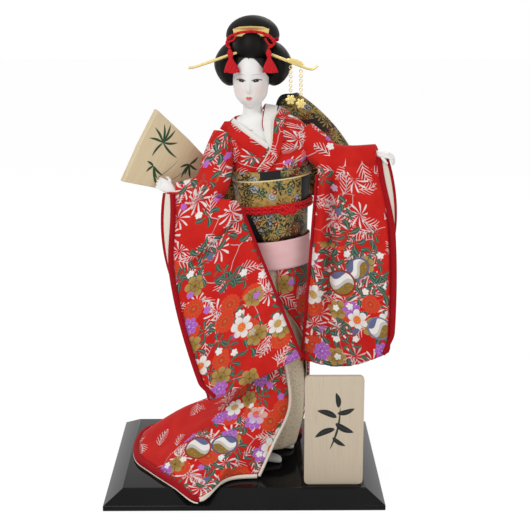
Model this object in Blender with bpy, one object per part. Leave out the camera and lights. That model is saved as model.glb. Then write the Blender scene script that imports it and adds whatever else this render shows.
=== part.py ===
"""Dressed kimono doll on a bevelled lacquer base, with a battledore in its right hand and a wooden title plate.

Metres, +Z up. The origin is the centre of the base's underside, +X is the viewer's right and the doll faces -Y.
Left and right in names are the doll's own, so its right sleeve is on the viewer's left.
"""

import math

import bmesh
import bpy
from mathutils import Matrix, Vector

# Fits
GAP = 0.0003  # clearance between pieces that touch
LAYER_GAP = 0.0006  # clearance between curved cloth layers

# Display base
BASE_WIDTH = 0.300
BASE_DEPTH = 0.240
BASE_HEIGHT = 0.018
BASE_EDGE = 0.0056  # height of the upright rim under the bevel
BEVEL_RUN = 0.020

# Title plate
PLATE_WIDTH = 0.063
PLATE_HEIGHT = 0.123
PLATE_THICKNESS = 0.006
PLATE_CORNER = 0.005
PLATE_CENTRE_X = 0.0958
PLATE_FRONT_Y = -0.0942
PLATE_FOOT_WIDTH = 0.030
PLATE_FOOT_DEPTH = 0.014
PLATE_FOOT_HEIGHT = 0.022

# Trunk stations: height, centre x, centre y, half width, half depth
TRUNK = (
    (0.150, 0.032, 0.010, 0.0300, 0.0250),
    (0.200, 0.032, 0.012, 0.0330, 0.0270),
    (0.236, 0.032, 0.013, 0.0335, 0.0275),
    (0.275, 0.031, 0.014, 0.0335, 0.0270),
    (0.310, 0.031, 0.014, 0.0345, 0.0270),
    (0.345, 0.030, 0.014, 0.0385, 0.0275),
    (0.365, 0.028, 0.014, 0.0430, 0.0270),
    (0.380, 0.026, 0.013, 0.0450, 0.0250),
    (0.390, 0.024, 0.012, 0.0410, 0.0220),
    (0.398, 0.022, 0.010, 0.0350, 0.0185),
    (0.404, 0.020, 0.008, 0.0260, 0.0150),
)
TRUNK_SIDES = 20
LEVEL_STEP = 0.014
TRUNK_TILT = 0.10  # rise of the dress towards the viewer's right, from the raised left arm
TRUNK_MIDDLE = 0.031
CORE_TOP = 0.352  # the straw trunk ends here and the shoulder plate begins
PLATE_TOP = 0.4035

# Dress layers on the trunk: each starts a gap outside the one below it
BODICE_THICKNESS = 0.0022
BODICE_BOTTOM = 0.250
BODICE_TOP = 0.3985
OBI_START = 0.0031
OBI_THICKNESS = 0.0026
OBI_BOTTOM = 0.270
OBI_TOP = 0.3375
SCARF_THICKNESS = 0.0032
SCARF_TOP = 0.3470
SASH_START = 0.0071
SASH_THICKNESS = 0.0014
SASH_BOTTOM = 0.238
CORD_RADIUS = 0.0024
CORD_HEIGHT = 0.3055
KNOT_AT = (0.0440, -0.0240)

# Collars, on the front of the trunk: outer offset, thickness and half width
COLLAR_START = 0.0034
COLLAR_THICKNESS = 0.0014
COLLAR_WIDTH = 0.0120
UNDER_COLLAR_START = 0.0006
UNDER_COLLAR_THICKNESS = 0.0012
UNDER_COLLAR_INSET = 0.0065  # how far it shows inside the collar's edge
UNDER_COLLAR_WIDTH = 0.0055
NECK_LEFT_TOP = (-0.0186, 0.4023)  # neckline points, x and z
NECK_BOTTOM = (0.0285, 0.3685)
NECK_RIGHT_TOP = (0.0330, 0.4060)
NECK_CUT_MARGIN = 0.0030
NAPE_RIGHT = (  # the collars' upper and lower edges, from the middle of the back round to the shoulder
    ((0.0111, 0.0380, 0.3990), (0.0111, 0.0425, 0.3875)),
    ((-0.0090, 0.0300, 0.4005), (-0.0140, 0.0340, 0.3890)),
    ((-0.0200, 0.0130, 0.4035), (-0.0255, 0.0135, 0.3925)),
)
NAPE_LEFT = (
    ((0.0119, 0.0380, 0.3990), (0.0119, 0.0425, 0.3875)),
    ((0.0320, 0.0300, 0.4060), (0.0400, 0.0340, 0.3960)),
    ((0.0390, 0.0130, 0.4125), (0.0500, 0.0140, 0.4065)),
)

# Legs and feet
ROD_RADIUS = 0.002
ROD_BOTTOM = 0.006
ROD_TOP = 0.178
ROD_ENDS = {
    "right": ((0.0135, -0.0265), (0.0240, -0.0010)),
    "left": ((0.0270, 0.0125), (0.0400, 0.0150)),
}
FOOT_LENGTH = 0.047
FOOT_WIDTH = 0.0165
FOOT_HEIGHT = 0.0145
FOOT_HEADING = -14.0  # degrees from +X
FOOT_HEELS = {"right": (-0.0045, -0.0235), "left": (0.0105, 0.0170)}
ANKLE_RADIUS = 0.0045
ANKLE_TOP = 0.052

# Under-skirt stations: height, centre x, centre y, half width, half depth
UNDER_SKIRT = (
    (0.036, 0.0290, -0.0045, 0.0315, 0.0360),
    (0.062, 0.0310, -0.0030, 0.0352, 0.0365),
    (0.100, 0.0320, 0.0000, 0.0355, 0.0350),
    (0.145, 0.0316, 0.0060, 0.0340, 0.0320),
    (0.190, 0.0318, 0.0110, 0.0350, 0.0303),
    (0.246, 0.0320, 0.0130, 0.0355, 0.0295),
)
UNDER_SKIRT_THICKNESS = 0.0015

# Kimono skirt: angle round the waist from the front, then points from the hip down to the hem
SKIRT_TOP = 0.2445
HIP_HEIGHT = 0.205
WAIST_GROW = 0.0061
HIP_GROW = (0.0074, 0.0086)
SKIRT_THICKNESS = 0.0014
LINING_THICKNESS = 0.0010
SKIRT_NET = (
    (20, (0.0340, -0.0325, 0.165), (0.0470, -0.0400, 0.125), (0.0525, -0.0490, 0.088),
     (0.0345, -0.0630, 0.051), (0.0147, -0.0790, 0.0215)),
    (32, (0.0245, -0.0340, 0.165), (0.0360, -0.0440, 0.125), (0.0400, -0.0530, 0.090),
     (0.0140, -0.0690, 0.052), (-0.0114, -0.0831, 0.0215)),
    (44, (0.0150, -0.0320, 0.165), (0.0230, -0.0420, 0.125), (0.0260, -0.0520, 0.092),
     (-0.0040, -0.0770, 0.048), (-0.0263, -0.0965, 0.0215)),
    (56, (0.0060, -0.0275, 0.165), (0.0110, -0.0360, 0.125), (0.0120, -0.0470, 0.094),
     (-0.0220, -0.0850, 0.041), (-0.0472, -0.1285, 0.0172)),
    (66, (-0.0005, -0.0210, 0.165), (0.0020, -0.0280, 0.125), (0.0010, -0.0380, 0.094),
     (-0.0420, -0.0690, 0.046), (-0.0733, -0.1006, 0.0215)),
    (76, (-0.0050, -0.0120, 0.165), (-0.0050, -0.0180, 0.125), (-0.0070, -0.0250, 0.093),
     (-0.0560, -0.0450, 0.053), (-0.1012, -0.0613, 0.0215)),
    (88, (-0.0080, 0.0020, 0.165), (-0.0090, -0.0010, 0.125), (-0.0115, -0.0040, 0.091),
     (-0.0680, -0.0150, 0.059), (-0.1208, -0.0281, 0.0215)),
    (102, (-0.0095, 0.0210, 0.165), (-0.0105, 0.0220, 0.125), (-0.0130, 0.0200, 0.0865),
     (-0.0740, 0.0190, 0.058), (-0.1253, 0.0200, 0.0215)),
    (125, (-0.0050, 0.0380, 0.165), (-0.0090, 0.0440, 0.125), (-0.0140, 0.0460, 0.084),
     (-0.0680, 0.0520, 0.050), (-0.1140, 0.0600, 0.0215)),
    (150, (0.0080, 0.0520, 0.165), (0.0030, 0.0600, 0.125), (-0.0060, 0.0660, 0.082),
     (-0.0400, 0.0760, 0.046), (-0.0720, 0.0850, 0.0215)),
    (180, (0.0280, 0.0580, 0.165), (0.0230, 0.0680, 0.125), (0.0140, 0.0760, 0.085),
     (-0.0030, 0.0840, 0.048), (-0.0190, 0.0900, 0.0215)),
    (210, (0.0490, 0.0540, 0.165), (0.0460, 0.0640, 0.125), (0.0410, 0.0730, 0.086),
     (0.0330, 0.0810, 0.050), (0.0240, 0.0870, 0.0215)),
    (240, (0.0650, 0.0430, 0.165), (0.0640, 0.0530, 0.125), (0.0610, 0.0630, 0.087),
     (0.0550, 0.0720, 0.051), (0.0470, 0.0790, 0.0215)),
    (270, (0.0735, 0.0270, 0.165), (0.0745, 0.0360, 0.125), (0.0725, 0.0470, 0.088),
     (0.0670, 0.0590, 0.051), (0.0600, 0.0690, 0.0215)),
    (300, (0.0730, 0.0090, 0.165), (0.0755, 0.0190, 0.125), (0.0745, 0.0310, 0.088),
     (0.0700, 0.0450, 0.051), (0.0640, 0.0580, 0.0215)),
    (330, (0.0665, -0.0080, 0.165), (0.0730, 0.0060, 0.125), (0.0730, 0.0210, 0.088),
     (0.0690, 0.0370, 0.051), (0.0640, 0.0510, 0.0215)),
    (354, (0.0590, -0.0195, 0.165), (0.0700, -0.0060, 0.125), (0.0705, 0.0140, 0.088),
     (0.0670, 0.0310, 0.051), (0.0620, 0.0450, 0.0215)),
)
SKIRT_ROWS = 9
SKIRT_SUBSTEPS = 2
HEM_RADIUS = 0.0030

# Arms: shoulder, elbow, wrist and the sleeve's radius at each
ARMS = {
    "right": (((-0.0215, 0.0160, 0.3790), 0.0145), ((-0.0310, -0.0110, 0.3280), 0.0155),
              ((-0.0740, -0.0190, 0.3255), 0.0098)),
    "left": (((0.0680, 0.0120, 0.3850), 0.0150), ((0.0950, 0.0010, 0.3600), 0.0140),
             ((0.1430, -0.0170, 0.3655), 0.0108)),
}
ARM_STEPS = 7
HAND_WAYS = {  # where the fingers point and where the back of the hand faces
    "right": ((-0.80, 0.10, 0.42), (0.10, -0.97, 0.20)),
    "left": ((0.93, -0.25, -0.10), (0.10, -0.25, 0.95)),
}
HAND_POSES = {"right": (0.0085, 0.50), "left": (0.0115, 0.52)}  # drawn back by, finger curl per step
PALM_START = 0.0030
CUFF_RADIUS = 0.0078
CUFF_LENGTH = 0.020
ARM_INSET = 0.0050  # sleeve radius less the padding's
ARM_SIDES = 14

# Sleeve bags: inner top, outer top, outer bottom, inner bottom, then the outer hem's bulge and the foot's sag
BAGS = {
    "right": ((-0.0060, -0.0330, 0.3190), (-0.0840, -0.0200, 0.3270), (-0.0400, -0.0500, 0.0960),
              (0.0620, -0.0640, 0.1530), 0.0125, 0.0020),
    "left": ((0.0795, -0.0140, 0.3560), (0.1510, -0.0190, 0.3660), (0.1619, -0.0280, 0.1460),
             (0.0630, -0.0360, 0.1400), 0.0060, 0.0130),
}
BAG_COLUMNS = 8
BAG_ROWS = 10
BAG_EDGE = 0.0026  # half thickness at the hem
BAG_FULLNESS = 0.0022  # extra half thickness in the middle
SLIT_START = 0.85
SLIT_END = 0.30
SLIT_HALF = 0.0013
SLEEVE_LINING_HALF = 0.0008

# Head: centre, radii, then the turn and nod in degrees
HEAD_CENTRE = (0.0078, -0.0010, 0.4485)
HEAD_RADII = (0.0192, 0.0235, 0.0325)
HEAD_TURN = -6.0
HEAD_NOD = 5.0
NECK_BASE = (0.0110, 0.0070, 0.3900)
NECK_RADIUS = 0.0105

# Hair masses: centre, radii
HAIR = {
    "hair_crown": ((0.0086, 0.0000, 0.4770), (0.0205, 0.0275, 0.0155)),
    "hair_wing_right": ((-0.0178, 0.0095, 0.4590), (0.0135, 0.0225, 0.0235)),
    "hair_wing_left": ((0.0378, 0.0095, 0.4590), (0.0140, 0.0225, 0.0235)),
    "hair_nape": ((0.0100, 0.0230, 0.4560), (0.0250, 0.0230, 0.0290)),
    "hair_topknot": ((0.0100, 0.0040, 0.4962), (0.0285, 0.0235, 0.0175)),
}

# Comb and hair ornaments
COMB_CENTRE = (0.0082, -0.0205, 0.4948)
COMB_SIZE = (0.0380, 0.0018, 0.0105)
HAIR_CORD_RADIUS = 0.0015
HAIR_CORD = (
    (-0.0140, -0.0235, 0.4775), (-0.0172, -0.0215, 0.4830), (-0.0130, -0.0208, 0.4890),
    (-0.0050, -0.0226, 0.4930), (0.0082, -0.0234, 0.4948), (0.0205, -0.0226, 0.4930),
    (0.0285, -0.0208, 0.4890), (0.0328, -0.0215, 0.4830), (0.0262, -0.0235, 0.4775),
)
TASSEL_LENGTH = 0.0222
TASSEL_RADIUS = 0.0060
TASSEL_TOPS = {"right": HAIR_CORD[0], "left": HAIR_CORD[-1]}
PIN_RADIUS = 0.0008
PINS = {
    "right": ((-0.0560, -0.0200, 0.4560), (-0.0020, -0.0140, 0.4740)),
    "left": ((0.0762, -0.0200, 0.4530), (0.0190, -0.0140, 0.4740)),
}
DANGLES = {"front": (0.0498, 0.0440), "rear": (0.0606, 0.0440)}
DANGLE_BORE = 0.0012
DANGLE_RING = 0.0019
DANGLE_HALF = 0.0009
DANGLE_FLOWER = 0.0045
BEAD_AT = (0.0352, -0.0130, 0.4860)
BEAD_RADIUS = 0.0024

# Obi bow: centre, the wings' direction, length, half width and depth
BOW_CENTRE = (0.0350, 0.0645, 0.3200)
BOW_AXIS = (0.799, 0.0, 0.602)
BOW_LENGTH = 0.0850
BOW_HALF_WIDTH = 0.0745
BOW_PINCH = 0.0300
BOW_DEPTH = 0.0150
BOW_SHELL = 0.0016
BOW_BAND_WIDTH = 0.0240
BOW_BAND_DEPTH = 0.0130
BOW_BAND_AHEAD = 0.0065  # the band's middle lies this far in front of the wings'

# Battledore: centre of the wide end, direction to the handle, direction across
BOARD_END = (-0.1120, -0.0158, 0.3750)
BOARD_ALONG = (0.736, 0.469, -0.480)
BOARD_ACROSS = (0.432, 0.218, 0.875)
BOARD_THICKNESS = 0.0085
BOARD_OUTLINE = (
    (-0.0012, 0.0), (0.0, 0.0425), (0.0500, 0.0305), (0.0780, 0.0220), (0.0860, 0.0075), (0.1000, 0.0060),
)

MATERIALS = {}


def surface(name, colour, roughness=0.6, metallic=0.0):
    """One Principled material, made once per name."""
    if name not in MATERIALS:
        material = bpy.data.materials.new(name)
        material.use_nodes = True
        shader = material.node_tree.nodes["Principled BSDF"]
        shader.inputs["Base Color"].default_value = (*colour, 1.0)
        shader.inputs["Roughness"].default_value = roughness
        shader.inputs["Metallic"].default_value = metallic
        material.diffuse_color = (*colour, 1.0)
        MATERIALS[name] = material
    return MATERIALS[name]


def lacquer():
    return surface("black_lacquer", (0.012, 0.012, 0.014), 0.08)


def pale_wood():
    return surface("pale_wood", (0.76, 0.62, 0.42), 0.55)


def skin():
    return surface("white_skin", (0.90, 0.86, 0.82), 0.42)


def black_hair():
    return surface("black_hair", (0.012, 0.012, 0.013), 0.45)


def gilt():
    return surface("gilt_metal", (0.86, 0.66, 0.28), 0.25, 1.0)


def steel():
    return surface("steel", (0.55, 0.56, 0.58), 0.35, 1.0)


def straw():
    return surface("straw_core", (0.62, 0.50, 0.30), 0.9)


def red_cloth():
    return surface("red_cloth", (0.62, 0.025, 0.030), 0.85)


def white_cloth():
    return surface("white_cloth", (0.86, 0.84, 0.80), 0.85)


def cream_cloth():
    return surface("cream_cloth", (0.80, 0.72, 0.58), 0.85)


def pink_cloth():
    return surface("pink_cloth", (0.88, 0.52, 0.54), 0.85)


def gold_brocade():
    return surface("gold_brocade", (0.50, 0.36, 0.12), 0.55)


def dark_brocade():
    return surface("dark_brocade", (0.10, 0.07, 0.035), 0.6)


def red_cord():
    return surface("red_cord", (0.60, 0.012, 0.016), 0.8)


def clear_scene():
    for obj in list(bpy.data.objects):
        bpy.data.objects.remove(obj, do_unlink=True)


def collection(name):
    found = bpy.data.collections.get(name)
    if found is None:
        found = bpy.data.collections.new(name)
        bpy.context.scene.collection.children.link(found)
    return found


def solid(name, points, faces, material, smooth=True):
    """A named part from points and faces, with its faces turned outwards."""
    mesh = bpy.data.meshes.new(name)
    mesh.from_pydata([tuple(p) for p in points], [], faces)
    work = bmesh.new()
    work.from_mesh(mesh)
    bmesh.ops.recalc_face_normals(work, faces=work.faces)
    if work.calc_volume(signed=True) < 0:
        bmesh.ops.reverse_faces(work, faces=work.faces)
    for face in work.faces:
        face.smooth = smooth
    work.to_mesh(mesh)
    work.free()
    mesh.materials.append(material)
    obj = bpy.data.objects.new(name, mesh)
    collection("kimono_doll").objects.link(obj)
    return obj


def as_cutter(obj):
    """Moves a part to the cutters, where it is only a tool."""
    for home in list(obj.users_collection):
        home.objects.unlink(obj)
    collection("cutters").objects.link(obj)
    obj.hide_render = True
    obj.display_type = "WIRE"
    return obj


def grown(obj, distance=GAP):
    """A cutter: a part's shape pushed out along its normals."""
    mesh = obj.data.copy()
    work = bmesh.new()
    work.from_mesh(mesh)
    work.normal_update()
    moves = [v.normal * distance * min(v.calc_shell_factor(), 2.0) for v in work.verts]
    for vertex, move in zip(work.verts, moves):
        vertex.co += move
    work.to_mesh(mesh)
    work.free()
    cutter = bpy.data.objects.new(obj.name + "_grown", mesh)
    collection("cutters").objects.link(cutter)
    cutter.hide_render = True
    cutter.display_type = "WIRE"
    return cutter


def boolean(obj, other, operation="DIFFERENCE", tangled=False):
    modifier = obj.modifiers.new(operation.lower(), "BOOLEAN")
    modifier.solver = "EXACT"
    modifier.operation = operation
    modifier.object = other
    modifier.use_self = tangled
    modifier.use_hole_tolerant = tangled


def baked(obj):
    """Puts a part's modifiers into its mesh, keeps its largest body and drops the rest."""
    bpy.context.view_layer.update()
    depsgraph = bpy.context.evaluated_depsgraph_get()
    mesh = bpy.data.meshes.new_from_object(obj.evaluated_get(depsgraph))
    obj.modifiers.clear()
    work = bmesh.new()
    work.from_mesh(mesh)
    bmesh.ops.remove_doubles(work, verts=work.verts, dist=0.000004)
    bodies = []
    left = set(work.verts)
    while left:
        body, edge = set(), [left.pop()]
        while edge:
            vertex = edge.pop()
            body.add(vertex)
            for link in vertex.link_edges:
                other = link.other_vert(vertex)
                if other in left:
                    left.discard(other)
                    edge.append(other)
        bodies.append(body)
    bodies.sort(key=len)
    spare = [v for body in bodies[:-1] for v in body]
    bmesh.ops.delete(work, geom=spare, context="VERTS")
    bmesh.ops.triangulate(work, faces=[f for f in work.faces if len(f.verts) > 4])
    for face in work.faces:
        face.smooth = True
    work.to_mesh(mesh)
    work.free()
    obj.data = mesh
    return obj


def pivoted(obj, centre):
    """Puts a part's origin on its joint's axis, with its shape left where it is."""
    obj.data.transform(Matrix.Translation(-centre))
    obj.location = centre
    return obj


def loft(name, rings, material):
    """A closed body through rings of points, capped with fans."""
    count = len(rings[0])
    points = [Vector(p) for ring in rings for p in ring]
    faces = []
    for r in range(len(rings) - 1):
        for i in range(count):
            j = (i + 1) % count
            faces.append((r * count + i, r * count + j, (r + 1) * count + j, (r + 1) * count + i))
    for r in (0, len(rings) - 1):
        middle = sum((Vector(p) for p in rings[r]), Vector()) / count
        points.append(middle)
        for i in range(count):
            faces.append((r * count + i, r * count + (i + 1) % count, len(points) - 1))
    return solid(name, points, faces, material)


def sleeve_loft(name, outer, inner, material):
    """A tube wall between outer and inner rings, open at both ends."""
    count = len(outer[0])
    rows = len(outer)
    points = [Vector(p) for ring in outer for p in ring] + [Vector(p) for ring in inner for p in ring]
    shift = rows * count
    faces = []
    for r in range(rows - 1):
        for i in range(count):
            j = (i + 1) % count
            faces.append((r * count + i, r * count + j, (r + 1) * count + j, (r + 1) * count + i))
            faces.append((shift + r * count + i, shift + (r + 1) * count + i,
                          shift + (r + 1) * count + j, shift + r * count + j))
    for r in (0, rows - 1):
        for i in range(count):
            j = (i + 1) % count
            faces.append((r * count + i, r * count + j, shift + r * count + j, shift + r * count + i))
    return solid(name, points, faces, material)


def slab(name, front, back, material):
    """A closed panel between two grids of points."""
    rows, columns = len(front), len(front[0])
    points = [Vector(p) for row in front for p in row] + [Vector(p) for row in back for p in row]
    shift = rows * columns
    faces = []
    for r in range(rows - 1):
        for c in range(columns - 1):
            a, b = r * columns + c, (r + 1) * columns + c
            faces.append((a, a + 1, b + 1, b))
            faces.append((shift + a, shift + b, shift + b + 1, shift + a + 1))
    rim = [c for c in range(columns)]
    rim += [r * columns + columns - 1 for r in range(1, rows)]
    rim += [(rows - 1) * columns + c for c in range(columns - 2, -1, -1)]
    rim += [r * columns for r in range(rows - 2, 0, -1)]
    for i, a in enumerate(rim):
        b = rim[(i + 1) % len(rim)]
        faces.append((a, shift + a, shift + b, b))
    return solid(name, points, faces, material)


def offset_grid(grid, distance):
    """A grid moved along its normals."""
    rows, columns = len(grid), len(grid[0])
    moved = []
    for r in range(rows):
        line = []
        for c in range(columns):
            across = grid[r][min(c + 1, columns - 1)] - grid[r][max(c - 1, 0)]
            down = grid[min(r + 1, rows - 1)][c] - grid[max(r - 1, 0)][c]
            normal = across.cross(down)
            normal.normalize()
            line.append(grid[r][c] + normal * distance)
        moved.append(line)
    return moved


def curve_through(points, t):
    """A smooth curve through points, with t from 0 to the last one's index."""
    last = len(points) - 1
    i = max(0, min(int(t), last - 1))
    f = t - i
    p1, p2 = Vector(points[i]), Vector(points[i + 1])
    p0 = Vector(points[i - 1]) if i > 0 else p1 * 2 - p2
    p3 = Vector(points[i + 2]) if i + 2 <= last else p2 * 2 - p1
    return 0.5 * (
        2 * p1 + (p2 - p0) * f + (2 * p0 - 5 * p1 + 4 * p2 - p3) * f * f
        + (3 * p1 - p0 - 3 * p2 + p3) * f ** 3
    )


def tube_rings(path, radii, sides=ARM_SIDES):
    """Rings of points square to a path."""
    path = [Vector(p) for p in path]
    rings = []
    side = None
    for i, point in enumerate(path):
        along = path[min(i + 1, len(path) - 1)] - path[max(i - 1, 0)]
        along.normalize()
        if side is None:
            side = along.cross(Vector((0.0, 0.0, 1.0)))
            if side.length < 0.1:
                side = along.cross(Vector((0.0, 1.0, 0.0)))
        side = side - along * side.dot(along)
        side.normalize()
        up = along.cross(side)
        radius = radii[i] if isinstance(radii, (list, tuple)) else radii
        rings.append([
            point + side * (radius * math.cos(2 * math.pi * k / sides))
            + up * (radius * math.sin(2 * math.pi * k / sides)) for k in range(sides)
        ])
    return rings


def tube(name, path, radii, material, sides=ARM_SIDES):
    return loft(name, tube_rings(path, radii, sides), material)


def ball(name, centre, radii, material, across=20, up=12):
    rings = []
    for r in range(1, up):
        lat = math.pi * r / up - math.pi / 2
        rings.append([
            (centre[0] + radii[0] * math.cos(lat) * math.cos(2 * math.pi * k / across),
             centre[1] + radii[1] * math.cos(lat) * math.sin(2 * math.pi * k / across),
             centre[2] + radii[2] * math.sin(lat)) for k in range(across)
        ])
    obj = loft(name, rings, material)
    points = obj.data.vertices
    points[len(points) - 2].co.z = centre[2] - radii[2]
    points[len(points) - 1].co.z = centre[2] + radii[2]
    return obj


def eased(low, high, value):
    f = max(0.0, min(1.0, (value - low) / (high - low)))
    return f * f * (3 - 2 * f)


def tilted(point):
    """The dress's slope towards the viewer's right, full at the obi and half at the shoulders."""
    x, y, z = point
    weight = eased(0.150, 0.236, z) * (1.0 - 0.6 * eased(0.350, 0.385, z))
    return Vector((x, y, z + TRUNK_TILT * (x - TRUNK_MIDDLE) * weight))


def section_at(stations, z):
    """Centre x, centre y, half width and half depth at a height."""
    heights = [s[0] for s in stations]
    i = 0
    while i < len(stations) - 2 and z > heights[i + 1]:
        i += 1
    t = i + (z - heights[i]) / (heights[i + 1] - heights[i])
    t = max(0.0, min(t, len(stations) - 1.0))
    flat = [(s[1], s[2], 0.0) for s in stations]
    wide = [(s[3], s[4], 0.0) for s in stations]
    centre, half = curve_through(flat, t), curve_through(wide, t)
    return centre.x, centre.y, half.x, half.y


def levels(bottom, top):
    """Heights shared by every layer between two ends."""
    marks = {bottom, top}
    step = 0
    while True:
        z = 0.150 + step * LEVEL_STEP
        if z > top:
            break
        if bottom + 0.001 < z < top - 0.001:
            marks.add(z)
        step += 1
    for z in (CORE_TOP, BODICE_BOTTOM, OBI_BOTTOM, OBI_TOP, SCARF_TOP):
        if bottom + 0.001 < z < top - 0.001:
            marks.add(z)
    return sorted(marks)


def trunk_ring(z, grow, sides=TRUNK_SIDES):
    cx, cy, wide, deep = section_at(TRUNK, z)
    ring = []
    for k in range(sides):
        t = 2 * math.pi * k / sides
        ring.append(tilted((cx - (wide + grow) * math.sin(t), cy - (deep + grow) * math.cos(t), z)))
    return ring


def trunk_layer(name, bottom, top, start, thickness, material):
    heights = levels(bottom, top)
    outer = [trunk_ring(z, start + thickness) for z in heights]
    inner = [trunk_ring(z, start) for z in heights]
    return sleeve_loft(name, outer, inner, material)


def chest_point(x, z, grow):
    """A point on the front of the trunk."""
    cx, cy, wide, deep = section_at(TRUNK, min(z, TRUNK[-1][0]))
    ratio = max(-0.985, min(0.985, (x - cx) / (wide + grow)))
    return tilted((x, cy - (deep + grow) * math.sqrt(1 - ratio * ratio), z))


def display_base():
    w, d, t = BASE_WIDTH / 2, BASE_DEPTH / 2, BEVEL_RUN
    rings = [
        [(-w, -d, 0.0), (w, -d, 0.0), (w, d, 0.0), (-w, d, 0.0)],
        [(-w, -d, BASE_EDGE), (w, -d, BASE_EDGE), (w, d, BASE_EDGE), (-w, d, BASE_EDGE)],
        [(-w + t, -d + t, BASE_HEIGHT), (w - t, -d + t, BASE_HEIGHT),
         (w - t, d - t, BASE_HEIGHT), (-w + t, d - t, BASE_HEIGHT)],
    ]
    base = loft("display_base", rings, lacquer())
    for face in base.data.polygons:
        face.use_smooth = False
    return base


def rounded_box(name, size, centre, corner, material):
    """A box with its four corners rounded, seen from the front."""
    w, h = size[0] / 2 - corner, size[2] / 2 - corner
    outline = []
    for cx, cz, start in ((w, h, 0), (-w, h, 90), (-w, -h, 180), (w, -h, 270)):
        for step in range(5):
            a = math.radians(start + step * 22.5)
            outline.append((cx + corner * math.cos(a), cz + corner * math.sin(a)))
    rings = [
        [(centre[0] + x, centre[1] + side * size[1] / 2, centre[2] + z) for x, z in outline]
        for side in (-1, 1)
    ]
    part = loft(name, rings, material)
    for face in part.data.polygons:
        face.use_smooth = False
    return part


def name_plate():
    middle = (PLATE_CENTRE_X, PLATE_FRONT_Y + PLATE_THICKNESS / 2, BASE_HEIGHT + GAP + PLATE_HEIGHT / 2)
    rounded_box("name_plate", (PLATE_WIDTH, PLATE_THICKNESS, PLATE_HEIGHT), middle, PLATE_CORNER, pale_wood())
    back = PLATE_FRONT_Y + PLATE_THICKNESS + GAP
    middle = (PLATE_CENTRE_X, back + PLATE_FOOT_DEPTH / 2, BASE_HEIGHT + GAP + PLATE_FOOT_HEIGHT / 2)
    size = (PLATE_FOOT_WIDTH, PLATE_FOOT_DEPTH, PLATE_FOOT_HEIGHT)
    rounded_box("name_plate_foot", size, middle, 0.0015, pale_wood())


def rod_path(side, overshoot=0.0):
    (x0, y0), (x1, y1) = ROD_ENDS[side]
    low, high = Vector((x0, y0, ROD_BOTTOM)), Vector((x1, y1, ROD_TOP))
    along = (high - low).normalized()
    return [low - along * overshoot, high + along * overshoot]


def leg_rod(side):
    rod = tube(f"leg_rod_{side}", rod_path(side), ROD_RADIUS, steel(), 12)
    bore = as_cutter(tube(f"leg_bore_{side}", rod_path(side, GAP), ROD_RADIUS + GAP, steel(), 12))
    return rod, bore


def foot(side, bore):
    """A stockinged foot: heel, instep and toe, with an ankle for the rod."""
    heading = math.radians(FOOT_HEADING)
    along = Vector((math.cos(heading), math.sin(heading), 0.0))
    across = Vector((-along.y, along.x, 0.0))
    heel = Vector((*FOOT_HEELS[side], BASE_HEIGHT + GAP))
    profile = (
        (0.0, 0.30, 0.45), (0.02, 0.62, 0.72), (0.10, 0.80, 0.95), (0.30, 0.84, 1.00),
        (0.50, 0.94, 0.92), (0.70, 1.00, 0.72), (0.86, 0.94, 0.60), (0.96, 0.70, 0.48), (1.0, 0.34, 0.30),
    )
    rings = []
    for place, wide, high in profile:
        ring = []
        for k in range(14):
            a = 2 * math.pi * k / 14
            side_way = across * (FOOT_WIDTH / 2 * wide * math.cos(a))
            lift = FOOT_HEIGHT * high * (0.5 + 0.5 * math.sin(a))
            ring.append(heel + along * (FOOT_LENGTH * place) + side_way + Vector((0, 0, lift)))
        rings.append(ring)
    part = loft(f"foot_{side}", rings, white_cloth())
    low, high = rod_path(side)
    reach = (high - low) / (high.z - low.z)
    bottom = low + reach * (BASE_HEIGHT + 0.004 - low.z)
    top = low + reach * (ANKLE_TOP - low.z)
    ankle = as_cutter(tube(f"ankle_{side}", [bottom, top], ANKLE_RADIUS, white_cloth(), 14))
    boolean(part, ankle, "UNION")
    boolean(part, bore)
    return baked(part)


def body_core(bores):
    core = loft("body_core", [trunk_ring(z, 0.0) for z in levels(0.150, CORE_TOP)], straw())
    for bore in bores:
        boolean(core, bore)
    return baked(core)


def shoulder_plate():
    heights = levels(CORE_TOP + GAP, PLATE_TOP)
    return loft("shoulder_plate", [trunk_ring(z, 0.0) for z in heights], skin())


def bodice():
    return trunk_layer("kimono_bodice", BODICE_BOTTOM, BODICE_TOP, GAP, BODICE_THICKNESS, red_cloth())


def neck_cutter():
    """The V of the neckline, through the front of the bodice only."""
    low = Vector((NECK_BOTTOM[0], 0.0, NECK_BOTTOM[1] - NECK_CUT_MARGIN * 1.5))
    left = Vector((NECK_LEFT_TOP[0], 0.0, NECK_LEFT_TOP[1]))
    left = left + (left - low).normalized() * 0.04 + Vector((-0.4, 0.0, -0.9)) * NECK_CUT_MARGIN
    right = Vector((NECK_RIGHT_TOP[0] + NECK_CUT_MARGIN, 0.0, NECK_RIGHT_TOP[1] + 0.03))
    outline = [low, right, Vector((left.x, 0.0, right.z)), left]
    rings = [[(p.x, y, p.z) for p in outline] for y in (-0.060, 0.002)]
    return as_cutter(loft("neck_cutter", rings, red_cloth()))


def sash_layers():
    trunk_layer("pink_sash", SASH_BOTTOM, OBI_BOTTOM - GAP, SASH_START, SASH_THICKNESS, pink_cloth())
    trunk_layer("obi_band", OBI_BOTTOM, OBI_TOP, OBI_START, OBI_THICKNESS, gold_brocade())
    trunk_layer("obi_scarf", OBI_TOP + GAP, SCARF_TOP, OBI_START, SCARF_THICKNESS - 0.001, dark_brocade())


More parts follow.
